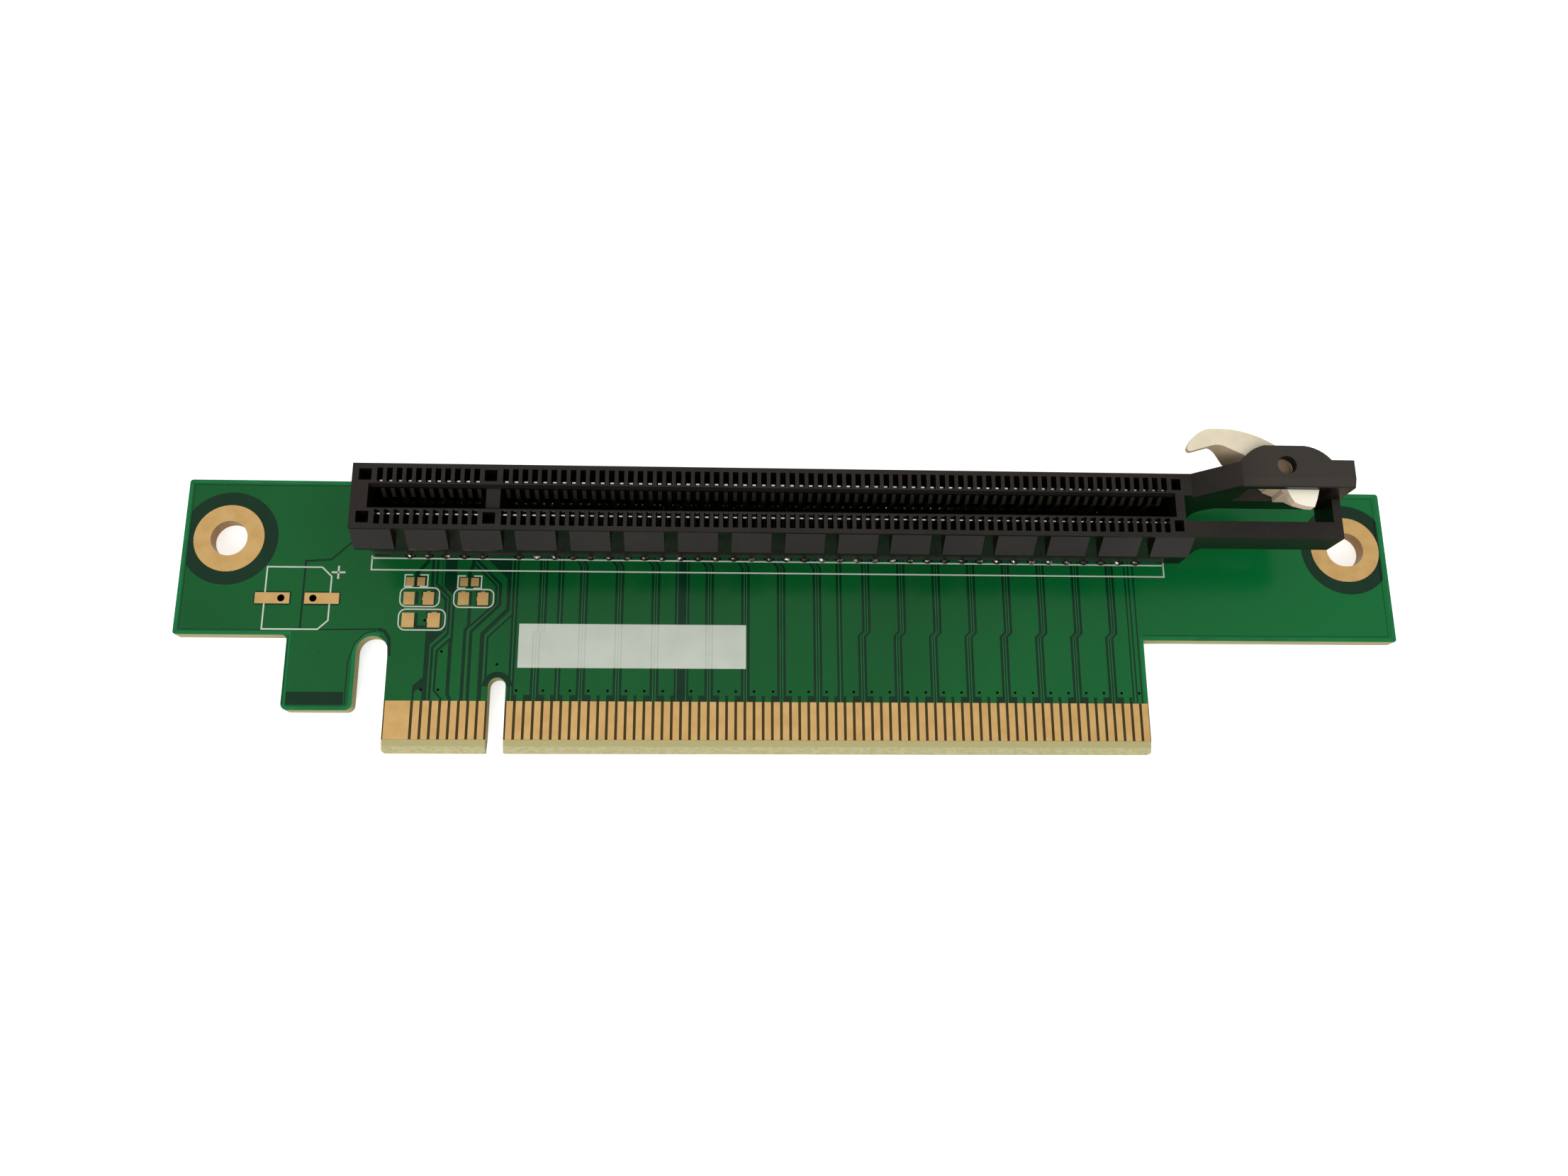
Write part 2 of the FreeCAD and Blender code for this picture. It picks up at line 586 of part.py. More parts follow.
def cavities(body):
    """Rows of contact cavities and the blind pockets at their ends."""
    blind = []
    for left, width in (("blind_left", "blind_end_width"), ("blind_mid", "blind_end_width"),
                        ("blind_right", "blind_right_width")):
        blind += both_sides("blind_in", "blind_out", left, f"{left} + {width}")
    pocket(body, new_sketch(body, "XY_Plane", TOP, *blind), "blind_depth")
    for first, count in ((SHORT_SHIFTED, "short_pins"), (LONG_SHIFTED, "long_pins")):
        pair = both_sides(
            "cavity_in", "cavity_out", f"{first} - cavity_width / 2", f"{first} + cavity_width / 2")
        cut = pocket(body, new_sketch(body, "XY_Plane", TOP, *pair), f"{TOP} - ({TROUGH_TOP})")
        repeat(body, cut, "pin_pitch", count)


def connector_housing():
    body = new_body("connector_housing")
    housing_body(body)
    latch_frame(body)
    card_slot(body)
    cavities(body)


def contact_row(side, row):
    """Bent contact strips of one row: tail, spring, contact point and tip."""
    body = new_body(f"contacts_{'front' if side < 0 else 'rear'}_{row}")
    inner, outer = TAIL_SIDES[row]
    tail = f"({inner} + {outer}) / 2"
    path = (
        (tail, "-tail_reach"),
        (tail, "board_thick + bend_height"),
        ("touch_y", f"{TOP} - touch_drop"),
    )
    near = [(f"{side} * ({across} - strip_thick / 2)", height) for across, height in path]
    far = [(f"{side} * ({across} + strip_thick / 2)", height) for across, height in path]
    corners = near + [(f"{side} * tip_y", f"{TOP} - tip_drop")] + far[::-1]
    if side > 0:
        corners.reverse()
    for first, count in TAIL_ROWS[row]:
        profile = new_sketch(body, "YZ_Plane", f"{first} + shift", closed(*corners))
        strip = pad(body, profile, "strip_width", both_ways=True)
        repeat(body, strip, "2 * pin_pitch", count)


def from_pivot(corners):
    """Lever outline moved from the pivot to its place on the board."""
    return closed(*((f"pivot_x + {x}", f"pivot_y + {y}", *arc) for x, y, *arc in corners))


def retention_lever():
    body = new_body("retention_lever")
    pad(body, new_sketch(body, "XY_Plane", LEVER_UNDER, from_pivot(HORN)), "lever_height")
    lip_under = f"{LEVER_UNDER} + lever_height - horn_lip"
    hollow = closed(
        ("horn_tip", LEVER_UNDER), ("horn_full", LEVER_UNDER), ("horn_thin", lip_under),
        ("horn_tip", lip_under))
    pocket(body, new_sketch(body, "XZ_Plane", "-pivot_y", hollow), "2 * lever_height")
    pad(body, new_sketch(body, "XY_Plane", LEVER_UNDER, ring("pivot_x", "pivot_y", "hub_radius")), "lever_height")
    hook_under = f"{LEVER_UNDER} + toe_height"
    pad(body, new_sketch(body, "XY_Plane", hook_under, from_pivot(HOOK)), "lever_height - toe_height")
    pad(body, new_sketch(body, "XY_Plane", LEVER_UNDER, from_pivot(TOE)), "toe_height")
    pin = ring("pivot_x", "pivot_y", "pivot_dia / 2 - pivot_fit")
    pad(body, new_sketch(body, "XY_Plane", ARM_UNDER, pin), "arm_height + hump_height - pin_recess")
    pin_top = f"{HUMP_TOP} - pin_recess"
    slant = closed(
        ("pivot_x - pivot_dia / 2", pin_top), ("pivot_x + pivot_dia / 2", f"{pin_top} - pin_slope"),
        ("pivot_x + pivot_dia / 2", pin_top))
    pocket(body, new_sketch(body, "XZ_Plane", "pivot_dia / 2 - pivot_y", slant), "pivot_dia")


circuit_board()
edge_fingers("edge_fingers_top", "board_thick", joined=True)
edge_fingers("edge_fingers_bottom", "-copper_thick", joined=False)
rings = new_body("mounting_rings")
mounting_ring(rings, ring, "hole_left_x")
mounting_ring(rings, stadium, "hole_right_x", "hole_stretch / 2")
oblong_lands()
chip_lands("large", ("large_centre_x",), "large_centre_y")
chip_lands("medium", ("medium_first_x", "medium_next_x"), "medium_centre_y")
chip_lands("small", ("small_first_x", "small_next_x"), "small_centre_y")
connector_housing()
for side in (-1, 1):
    for row in TAIL_ROWS:
        contact_row(side, row)
retention_lever()
doc.recompute()

broken = [item.Label for item in doc.Objects if {"Invalid", "Error"} & set(item.State)]
if broken:
    raise ValueError(f"failed objects: {broken}")
os.makedirs("parts", exist_ok=True)
for body in doc.findObjects("PartDesign::Body"):
    if body.Shape.isNull() or not body.Shape.isValid():
        raise ValueError(f"{body.Label} has no sound shape")
    body.Shape.exportStep(f"parts/{body.Label}.step")
    print(body.Label, len(body.Shape.Solids), round(body.Shape.Volume, 2))
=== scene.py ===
import math

import bmesh
import bpy
from mathutils import Euler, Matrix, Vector


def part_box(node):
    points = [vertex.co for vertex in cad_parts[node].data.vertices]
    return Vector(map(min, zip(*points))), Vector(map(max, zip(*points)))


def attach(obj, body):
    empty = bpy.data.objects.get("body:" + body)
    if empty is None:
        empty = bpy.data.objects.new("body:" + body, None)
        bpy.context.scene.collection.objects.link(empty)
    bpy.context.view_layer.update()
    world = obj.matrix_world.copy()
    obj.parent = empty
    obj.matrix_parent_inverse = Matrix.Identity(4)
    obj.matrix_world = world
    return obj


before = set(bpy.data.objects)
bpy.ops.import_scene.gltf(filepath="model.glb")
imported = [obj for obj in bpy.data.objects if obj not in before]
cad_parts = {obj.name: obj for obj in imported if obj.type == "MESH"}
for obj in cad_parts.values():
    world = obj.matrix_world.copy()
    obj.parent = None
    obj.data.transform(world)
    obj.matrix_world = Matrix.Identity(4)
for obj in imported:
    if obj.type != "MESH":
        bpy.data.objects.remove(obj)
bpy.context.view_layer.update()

MM = 0.001

# Heights of the films on the board, in millimetres. Films that cross have heights of their own.
RIM_FILM = 0.0042     # paler mask along the board's edges
LAND_FILM = 0.0048    # dark mask round the lands of the chip capacitors
FILM = 0.006          # other changes of tone in the mask
FILM_STEP = 0.0004    # between two gaps in the copper that cross
BLOCK = 0.008         # dark blocks behind the fingers
TRACE = 0.0095        # paler traces
VIA = 0.011           # dark spots of painted shade that stand for small drilled holes
TINNED = 0.012        # tinned rings round the tails
INK = 0.014           # white print
RELIEF_INK = 0.0182   # faint lines in the white field
TAB = 0.028           # short ends of trace at the lands

board_low, board_high = (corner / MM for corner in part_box("circuit_board"))
BOARD_TOP = board_high.z
UNDERSIDE = board_low.z
fingers_low, fingers_high = (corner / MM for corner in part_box("edge_fingers_top"))
rings_low, rings_high = (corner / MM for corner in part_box("mounting_rings"))
contacts_low, contacts_high = (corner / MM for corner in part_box("contacts_front_outer"))

# Outline of the board. Places are in millimetres, x from the middle of the key notch and y from the middle
# of the card slot.
WING_FRONT = -12.3
TAB_LEFT, TAB_RIGHT, TAB_FRONT = -12.0, 71.95, -25.1
PALE_FRONT = 0.6                   # depth of the paler core at the front of the finger tab
GUIDE_LEFT, GUIDE_RIGHT, GUIDE_FRONT, GUIDE_ROUND = -22.95, -15.4, -20.6, 0.75
GAP_HALF, GAP_ROUND_Y = 1.7, -14.07   # half width and round end of the gap between the two tabs
CORNER_ROUND = 0.35
RIM_WIDTH = 0.4                    # paler mask along the board's edges
EDGE_INSET = 0.6                   # from the board's edges to the edge of its copper

# Contact strips of the connector and the bore of its lever.
SHORT_PINS = [-11.5 + pin for pin in range(11)]
LONG_PINS = [1.5 + pin for pin in range(71)]
PINS = SHORT_PINS + LONG_PINS
PIN_SHIFT = 0.2                    # from a finger to its strip, along the board
OUTER_TAIL, INNER_TAIL = 2.97, 1.25
TIP_Y, TIP_ROUND, STRIP_HALF = 1.72, 0.15, 0.18
REAR_TIP_SHIFT = 0.16
PIVOT_X, PIVOT_Y, BORE_RADIUS = 83.57, 3.22, 1.02


# ---------------------------------------------------------------- shader building

MIX_FIRST, MIX_SECOND, MIX_COLOUR = 6, 7, 2    # a Mix node's colour inputs and colour output


def add_node(tree, kind, settings, sockets, output=0):
    """New node with its settings made first and its sockets set or linked after."""
    node = tree.nodes.new(kind)
    for name, value in settings.items():
        setattr(node, name, value)
    for key, value in sockets.items():
        plug(tree, node.inputs[key], value)
    return Term(tree, node.outputs[output])


def plug(tree, socket, value):
    """Link the socket to a term, or set it to a plain value."""
    if isinstance(value, Term):
        tree.links.new(value.socket, socket)
    else:
        socket.default_value = value


class Term:
    """A node's output that adds, multiplies and compares like a number."""

    def __init__(self, tree, socket):
        self.tree = tree
        self.socket = socket

    def math(self, operation, *others, clamp=False):
        settings = {"operation": operation, "use_clamp": clamp}
        return add_node(self.tree, "ShaderNodeMath", settings, dict(enumerate((self, *others))))

    def __add__(self, other):
        return self.math("ADD", other)

    def __mul__(self, other):
        return self.math("MULTIPLY", other)

    def __sub__(self, other):
        return self.math("SUBTRACT", other)

    def __rsub__(self, other):
        return self * -1.0 + other

    def __gt__(self, other):
        return self.math("GREATER_THAN", other)

    def __lt__(self, other):
        return self.math("LESS_THAN", other)

    __radd__ = __add__
    __rmul__ = __mul__

    def either(self, other):
        return self.math("MAXIMUM", other)

    def ramp(self, low, high):
        """0 below low, 1 above high, and a straight rise between."""
        return (self - low).math("DIVIDE", high - low, clamp=True)

    def parts(self):
        """The three numbers of a vector."""
        first = add_node(self.tree, "ShaderNodeSeparateXYZ", {}, {0: self})
        return [Term(self.tree, output) for output in first.socket.node.outputs]


def tone(red, green, blue):
    """Colour written as 0 to 255 screen values."""
    parts = (part / 255 for part in (red, green, blue))
    linear = (part / 12.92 if part <= 0.04045 else ((part + 0.055) / 1.055) ** 2.4 for part in parts)
    return (*linear, 1.0)


class Finish:
    """One material: a principled shader with helpers for places, noise, mixing and bump."""

    def __init__(self, name, **even):
        self.material = bpy.data.materials.new(name)
        self.material.use_nodes = True
        self.tree = self.material.node_tree
        self.shader = self.tree.nodes["Principled BSDF"]
        for socket, value in even.items():
            self.set(socket.replace("_", " "), value)
        self.place = add_node(self.tree, "ShaderNodeTexCoord", {}, {}, "Object")
        self.x, self.y, self.z = (part * (1 / MM) for part in self.place.parts())
        self.up = add_node(self.tree, "ShaderNodeNewGeometry", {}, {}, "Normal").parts()[2]

    def set(self, name, value):
        plug(self.tree, self.shader.inputs[name], value)

    def noise(self, size, detail=3.0, stretch=(1, 1, 1)):
        """Noise between 0 and 1 whose blotches are about size millimetres across."""
        scale = [part / (size * MM) for part in stretch]
        place = add_node(self.tree, "ShaderNodeMapping", {}, {"Vector": self.place, "Scale": scale})
        sockets = {"Vector": place, "Scale": 1.0, "Detail": detail}
        return add_node(self.tree, "ShaderNodeTexNoise", {}, sockets)

    def mix(self, factor, first, second):
        """The first colour where the factor is 0 and the second where it is 1."""
        sockets = {"Factor": factor, MIX_FIRST: first, MIX_SECOND: second}
        return add_node(self.tree, "ShaderNodeMix", {"data_type": "RGBA"}, sockets, MIX_COLOUR)

    def bump(self, height, distance):
        """Relief that rises by distance millimetres where the height is 1."""
        sockets = {"Distance": distance * MM, "Height": height}
        self.set("Normal", add_node(self.tree, "ShaderNodeBump", {}, sockets))


# ---------------------------------------------------------------- finishes

MASK_GLOSS = 0.17
MASK_PALE = tone(8, 87, 37)
MASK_DEEP = tone(5, 80, 34)
# Brighter green, painted light on the right end of the board.
MASK_LIT_END = tone(2, 104, 48)
MASK_SPECK = tone(50, 120, 70)
CORE_PALE = tone(186, 180, 138)
CORE_GREY = tone(168, 160, 116)
CORE_OLIVE = tone(168, 159, 113)
CORE_DARK_SHADED = tone(62, 52, 27)


def laminate_finish():
    """Green mask on both faces, bare glass-fibre core on the edges, the bevel and round the fingers."""
    finish = Finish("laminate_finish", Specular_IOR_Level=MASK_GLOSS)
    flat = finish.up.math("ABSOLUTE") > 0.99
    speck = finish.noise(0.3, 4.0)
    # Painted light: the mask turns a brighter green from x = 45 to 85 mm, towards the right end of the board.
    lit_end = finish.x.ramp(45, 85)
    mask = finish.mix(finish.noise(16.0, 2.0).ramp(0.35, 0.65), MASK_PALE, MASK_DEEP)
    mask = finish.mix(lit_end * 0.8, mask, MASK_LIT_END)
    mask = finish.mix(speck.ramp(0.64, 0.8) * 0.3, mask, MASK_SPECK)
    weave = finish.noise(0.5, 2.0, (1, 3, 1)).ramp(0.35, 0.7)
    behind_front = finish.y.ramp(TAB_FRONT + PALE_FRONT, TAB_FRONT + PALE_FRONT + 0.15)
    core = finish.mix(weave, CORE_PALE, CORE_GREY)
    core = finish.mix(behind_front, core, CORE_OLIVE)
    bare = (finish.y < fingers_high.y) * (finish.x > TAB_LEFT - 0.3)
    # Core between the fingers: its own darker tone together with painted shade between the fingers.
    between = finish.mix((finish.y > fingers_low.y) * flat, core, CORE_DARK_SHADED)
    masked = flat * (1 - bare)
    finish.set("Base Color", finish.mix(flat, core, finish.mix(bare, mask, between)))
    finish.set("Roughness", 0.75 - masked * 0.55)
    finish.bump(finish.noise(2.2) + speck * 0.5, 0.004)
    return finish.material


def film_finish(name, colour, share=0.78, gloss=MASK_GLOSS, roughness=0.2):
    """Thin film on the board, in blotches of its colour and a darker share of it."""
    finish = Finish(name, Specular_IOR_Level=gloss, Roughness=roughness)
    darker = (*(part * share for part in colour[:3]), 1.0)
    finish.set("Base Color", finish.mix(finish.noise(2.5).ramp(0.35, 0.7), colour, darker))
    finish.bump(finish.noise(0.3), 0.003)
    return finish.material


GOLD_PALE = tone(208, 170, 110)
GOLD_DEEP = tone(199, 159, 99)
GOLD_WALL_SHADE = tone(112, 78, 40)
GOLD_GRAIN = tone(170, 128, 72)


def gold_finish():
    """Matt gold over nickel, cloudy and finely grained, and darkened by painted shade on upright walls."""
    finish = Finish("gold_finish", Metallic=0.85)
    cloud = finish.noise(1.6, 4.0)
    grain = finish.noise(0.12)
    # Painted shade: upright faces get a darker gold.
    upright = finish.up.math("ABSOLUTE").ramp(0.8, 0.3)
    gold = finish.mix(cloud.ramp(0.35, 0.7), GOLD_PALE, GOLD_DEEP)
    gold = finish.mix(upright * 0.8, gold, GOLD_WALL_SHADE)
    finish.set("Base Color", finish.mix(grain.ramp(0.6, 0.75) * 0.25, gold, GOLD_GRAIN))
    finish.set("Roughness", cloud * 0.2 + 0.34)
    finish.bump(grain, 0.004)
    return finish.material


STRIP_BRIGHT = tone(218, 216, 210)
STRIP_SHADED = tone(46, 41, 35)
STRIP_STAIN = tone(50, 45, 38)


def spring_finish():
    """Contact strips: bright plated tips and tails, dull and darkened by painted shade between the housing's
    walls.
    """
    finish = Finish("spring_finish", Specular_IOR_Level=0.1)
    rough = finish.noise(0.4)
    tip = finish.z.ramp(contacts_high.z - 0.7, contacts_high.z - 0.4)
    # Painted shade on the strips above the board, below their tips.
    shaded = (finish.z > BOARD_TOP) * (1 - tip)
    plated = finish.mix(shaded, STRIP_BRIGHT, STRIP_SHADED)
    finish.set("Base Color", finish.mix(rough.ramp(0.4, 0.7) * 0.3, plated, STRIP_STAIN))
    finish.set("Metallic", 1 - shaded * 0.9)
    finish.set("Roughness", 0.25 + shaded * 0.3)
    finish.bump(finish.noise(0.2), 0.004)
    return finish.material


def solder_finish(name, bright, dull, low=0.35, high=0.7):
    """Cloudy solder, bright where its noise is under low and dull where it is over high."""
    finish = Finish(name, Metallic=1.0)
    cloud = finish.noise(0.5)
    finish.set("Base Color", finish.mix(cloud.ramp(low, high), bright, dull))
    finish.set("Roughness", cloud * 0.25 + 0.12)
    finish.bump(finish.noise(0.3), 0.01)
    return finish.material


BLACK_TOP = tone(36, 31, 27)
BLACK_TOP_DEEP = tone(28, 24, 21)
BLACK_GRAIN = tone(64, 57, 50)
BLACK_HUMP = tone(62, 57, 51)
BLACK_WALL_SHADE = tone(19, 15, 11)
BLACK_WALL_SHADE_DEEP = tone(13, 11, 9)


def moulding_finish():
    """Black glass-filled plastic: matt on top, smoother and darkened by painted shade on the upright walls,
    greyer on the hump.
    """
    finish = Finish("moulding_finish", Specular_IOR_Level=0.2)
    grain = finish.noise(0.2, 4.0)
    cloud = finish.noise(5.0)
    top = finish.up.ramp(0.3, 0.9)
    black = finish.mix(cloud.ramp(0.35, 0.65), BLACK_TOP, BLACK_TOP_DEEP)
    black = finish.mix(grain.ramp(0.6, 0.8) * 0.5, black, BLACK_GRAIN)
    hump = finish.x.ramp(TAB_RIGHT + 3, TAB_RIGHT + 10) * (finish.y > 1)
    black = finish.mix(hump * 0.6, black, BLACK_HUMP)
    # Painted shade: upright walls get a darker black than the top.
    wall = finish.mix(cloud.ramp(0.35, 0.65), BLACK_WALL_SHADE, BLACK_WALL_SHADE_DEEP)
    finish.set("Base Color", finish.mix(top, wall, black))
    finish.set("Roughness", top * 0.28 + grain * 0.1 + 0.24)
    finish.bump(grain + cloud * 0.3, 0.012)
    return finish.material


IVORY_PALE = tone(226, 216, 192)
IVORY_DEEP = tone(212, 200, 172)
IVORY_SPOT = tone(186, 171, 140)
IVORY_HOOK_LIGHT = tone(246, 238, 218)
IVORY_UNDER_SHADE = tone(172, 138, 100)
IVORY_BORE_SHADE = tone(122, 102, 82)


def ivory_finish():
    """Ivory nylon with a faint mottle, made paler on the hook by painted light and browner by painted shade
    on its sides, below and in its bore.
    """
    finish = Finish("ivory_finish", Specular_IOR_Level=0.3, Roughness=0.5, Subsurface_Weight=0.12,
                    Subsurface_Radius=(0.0012, 0.0009, 0.0006), Subsurface_Scale=1.0)
    ivory = finish.mix(finish.noise(3.0).ramp(0.3, 0.7), IVORY_PALE, IVORY_DEEP)
    ivory = finish.mix(finish.noise(0.5).ramp(0.64, 0.8) * 0.4, ivory, IVORY_SPOT)
    # Painted light: the hook is paler.
    ivory = finish.mix(finish.y.ramp(2.2, 1.0), ivory, IVORY_HOOK_LIGHT)
    # Painted shade: faces turned sideways and down are browner.
    ivory = finish.mix(finish.up.ramp(0.3, -0.1) * 0.8, ivory, IVORY_UNDER_SHADE)
    # Painted shade inside the bore round the pivot.
    across, along = finish.x - PIVOT_X, finish.y - PIVOT_Y
    in_bore = across * across + along * along < BORE_RADIUS ** 2
    finish.set("Base Color", finish.mix(in_bore, ivory, IVORY_BORE_SHADE))
    finish.bump(finish.noise(0.5, 4.0), 0.02)
    return finish.material


LAMINATE = laminate_finish()
GAP = film_finish("mask_gap_finish", tone(4, 46, 26))
CLEAR = film_finish("clear_mask_finish", tone(6, 46, 26))
COVERED_TRACE = film_finish("covered_trace_finish", tone(26, 100, 48))
RIM = film_finish("mask_rim_finish", tone(12, 112, 60))
PRINT = film_finish("white_print_finish", tone(193, 198, 186), 0.92, 0.2, 0.6)
RELIEF = film_finish("print_relief_finish", tone(180, 185, 173), 0.94, 0.2, 0.6)
# Near-black painted shadow: on the board inside the connector, inside the drilled holes and at the vias.
PAINTED_SHADOW = film_finish("painted_shadow_finish", tone(14, 10, 6), 0.6, 0.0, 0.8)
GOLD = gold_finish()
SPRING = spring_finish()
SOLDER = solder_finish("solder_finish", tone(206, 206, 204), tone(140, 140, 138))
# Solder on the top face: its dark patches are a painted reflection of the black housing, between patches of
# bright solder.
SOLDER_HOUSING_REFLECTION = solder_finish("solder_reflection_finish", tone(190, 190, 184), tone(44, 44, 38), 0.28, 0.5)
MOULDING = moulding_finish()
IVORY = ivory_finish()

# Finish of the nodes whose names begin so. All other nodes are gold-plated.
NODE_FINISHES = (("circuit", LAMINATE), ("connector", MOULDING), ("retention", IVORY), ("contacts", SPRING))

for name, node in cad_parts.items():
    finish = GOLD
    for beginning, own in NODE_FINISHES:
        if name.startswith(beginning):
            finish = own
    node.data.materials.clear()
    node.data.materials.append(finish)
    for face in node.data.polygons:
        face.material_index = 0


# ---------------------------------------------------------------- flat print and films

MITRE_LIMIT = 0.35    # smallest cosine that a mitred corner is worked out with


class Film:
    """Thin plates on one face of the board, drawn in millimetres and built as one piece."""

    def __init__(self, underside=False):
        self.mesh = bmesh.new()
        self.base = UNDERSIDE if underside else BOARD_TOP
        self.up = -1 if underside else 1

    def outline(self, points, height=FILM):
        """Flat plate with the given outline."""
        lower = [self.mesh.verts.new((x * MM, y * MM, self.base * MM)) for x, y in points]
        top = (self.base + self.up * height) * MM
        upper = [self.mesh.verts.new((x * MM, y * MM, top)) for x, y in points]
        self.mesh.faces.new(upper)
        self.mesh.faces.new(lower[::-1])
        for index in range(len(points)):
            after = (index + 1) % len(points)
            self.mesh.faces.new((lower[index], lower[after], upper[after], upper[index]))

    def box(self, left, right, front, rear, height=FILM):
        self.outline([(left, front), (right, front), (right, rear), (left, rear)], height)

    def line(self, points, width, height=FILM, closed=False):
        """Band of even width along a path, with mitred corners."""
        count = len(points)
        places = [Vector(point) for point in points]
        sides = []
        for index, place in enumerate(places):
            before = places[index - 1] if index or closed else None
            after = places[(index + 1) % count] if index < count - 1 or closed else None
            ways = [(b - a).normalized() for a, b in ((before, place), (place, after)) if a and b]
            normals = [Vector((-way.y, way.x)) for way in ways]
            middle = sum(normals, Vector((0, 0))).normalized()
            sides.append(middle * (width / 2 / max(MITRE_LIMIT, middle.dot(normals[0]))))
        spans = count if closed else count - 1
        for index in range(spans):
            after = (index + 1) % count
            self.outline([
                places[index] - sides[index], places[after] - sides[after],
                places[after] + sides[after], places[index] + sides[index]], height)

    def disc(self, x, y, radius, height, steps):
        points = [(x + radius * math.cos(turn), y + radius * math.sin(turn)) for turn in turns(steps)]
        self.outline(points, height)

    def ring(self, x, y, inner, outer, left, right, steps=64):
        """Flat ring that ends at the given left and right."""
        for start, end in zip(turns(steps), turns(steps)[1:] + [2 * math.pi]):
            corners = []
            for radius, turn in ((inner, start), (outer, start), (outer, end), (inner, end)):
                across = min(max(x + radius * math.cos(turn), left), right)
                corners.append((across, y + radius * math.sin(turn)))
            self.outline(corners)

    def build(self, name, finish):
        bmesh.ops.recalc_face_normals(self.mesh, faces=self.mesh.faces)
        return build_piece(name, self.mesh, finish)


def turns(steps):
    """Angles of even steps round a full circle."""
    return [2 * math.pi * step / steps for step in range(steps)]


def build_piece(name, shape, finish):
    """Object of one finish that rides on the card."""
    mesh = bpy.data.meshes.new(name)
    shape.to_mesh(mesh)
    shape.free()
    mesh.materials.append(finish)
    piece = bpy.data.objects.new(name, mesh)
    bpy.context.scene.collection.objects.link(piece)
    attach(piece, "card")
    return piece


FINGER_REAR = fingers_high.y
BLOCK_REAR = FINGER_REAR + 0.7
HOUSING_FRONT = -3.2

# Places of the traces at the fingers: signal pairs, single traces between two dark lines, and the two guard
# traces. The spare places have only a dark block, and the last lines stand alone at the right of the tab.
PAIR_PLACES = (4.03, 9.03, 13.0, 17.03, 23.02, 27.03, 31.03, 35.07, *(40.05 + 4 * pair for pair in range(8)))
SINGLE_PLACES = (1.5, 6.5, 37.54)
GUARD_PLACES = (19.47, 20.5)
SPARE_PLACES = (11.0, 15.0, 25.0, 29.0, 33.0, *(42.0 + 4 * pair for pair in range(8)))
LAST_LINES = (70.33, 70.75, 71.3)

# Dark lines beside the traces and between those of a pair: offset from the place, and width.
PAIR_LINES = ((-0.34, 0.27), (0.0, 0.14), (0.34, 0.27))
SINGLE_LINES = ((-0.2, 0.24), (0.2, 0.22))
LAST_WIDTH = 0.16

# Dark blocks behind the fingers: left and right end of each, from the place of the trace beside it.
PAIR_BLOCKS = ((-1.15, -0.2), (0.25, 1.15))
FIRST_BLOCK = ((0.1, 0.67),)
SINGLE_BLOCKS = ((-0.7, -0.1), (0.1, 0.65))
GUARD_HALF, GUARD_REACH = 0.06, 0.28      # half width of a guard trace, and reach of the gap beside it
LEFT_GUARD_BLOCK = ((-0.65, -GUARD_HALF),)
RIGHT_GUARD_BLOCK = ((GUARD_HALF, 0.75),)
SPARE_HALF = 0.17

# Pairs between these places leave the connector with a bend, and the others have a jog half-way.
JOGGED_BEFORE, JOGGED_FROM = 5.0, 40.0
JOG, JOG_Y = 0.52, -11.5
BEND = ((-0.6, 0.0), (-0.5, -0.3), (0.0, -1.0))      # from the pair's place and the front of the housing

VIA_RADIUS = 0.15
VIA_ROW = -18.35
VIA_PLACES = (2.1, 5.0, 7.9, 9.9, 12, 14, 16, 18, 21.1, 24.1, 26, 28, 30.1, 32, 34, 36, 39, *range(41, 72, 2))
LOOSE_VIAS = ((-6.2, -14.05), (-8.15, -18.3), (-6.3, -18.3), (-0.12, -15.45), (-8.25, -10.57))


def pair_path(foot, offset):
    """Path beside or inside a pair, from under the connector to the fingers."""
    x = foot + offset
    if JOGGED_BEFORE < foot < JOGGED_FROM:
        start = [(x + across, HOUSING_FRONT + along) for across, along in BEND]
    else:
        start = [(x + JOG, HOUSING_FRONT), (x + JOG, JOG_Y), (x, JOG_Y - JOG)]
    return [*start, (x, FINGER_REAR)]


def finger_blocks(film, x, spans):
    """Dark blocks behind the fingers beside the trace at x."""
    for left, right in spans:
        film.box(x + left, x + right, FINGER_REAR, BLOCK_REAR, BLOCK)


def copper_gaps(underside):
    """Dark lines beside the traces that run to the fingers, and the dark blocks behind the fingers."""
    film = Film(underside)
    for foot in PAIR_PLACES:
        for offset, width in PAIR_LINES:
            film.line(pair_path(foot, offset), width)
        finger_blocks(film, foot, PAIR_BLOCKS)
    for x in SINGLE_PLACES:
        for offset, width in SINGLE_LINES:
            film.line([(x + offset, HOUSING_FRONT), (x + offset, FINGER_REAR)], width)
    for x in SINGLE_PLACES[1:]:
        finger_blocks(film, x, SINGLE_BLOCKS)
    finger_blocks(film, SINGLE_PLACES[0], FIRST_BLOCK)
    left, right = GUARD_PLACES
    film.box(left + GUARD_HALF, right - GUARD_HALF, FINGER_REAR, HOUSING_FRONT)
    film.box(left - GUARD_REACH, left - GUARD_HALF, FINGER_REAR, HOUSING_FRONT)
    film.box(right + GUARD_HALF, right + GUARD_REACH, FINGER_REAR, HOUSING_FRONT)
    finger_blocks(film, left, LEFT_GUARD_BLOCK)
    finger_blocks(film, right, RIGHT_GUARD_BLOCK)
    for x in SPARE_PLACES:
        film.box(x - SPARE_HALF, x + SPARE_HALF, FINGER_REAR, BLOCK_REAR)
    for x in LAST_LINES:
        film.line([(x, HOUSING_FRONT), (x, FINGER_REAR)], LAST_WIDTH)
    film.build("copper_gaps_bottom" if underside else "copper_gaps_top", GAP)


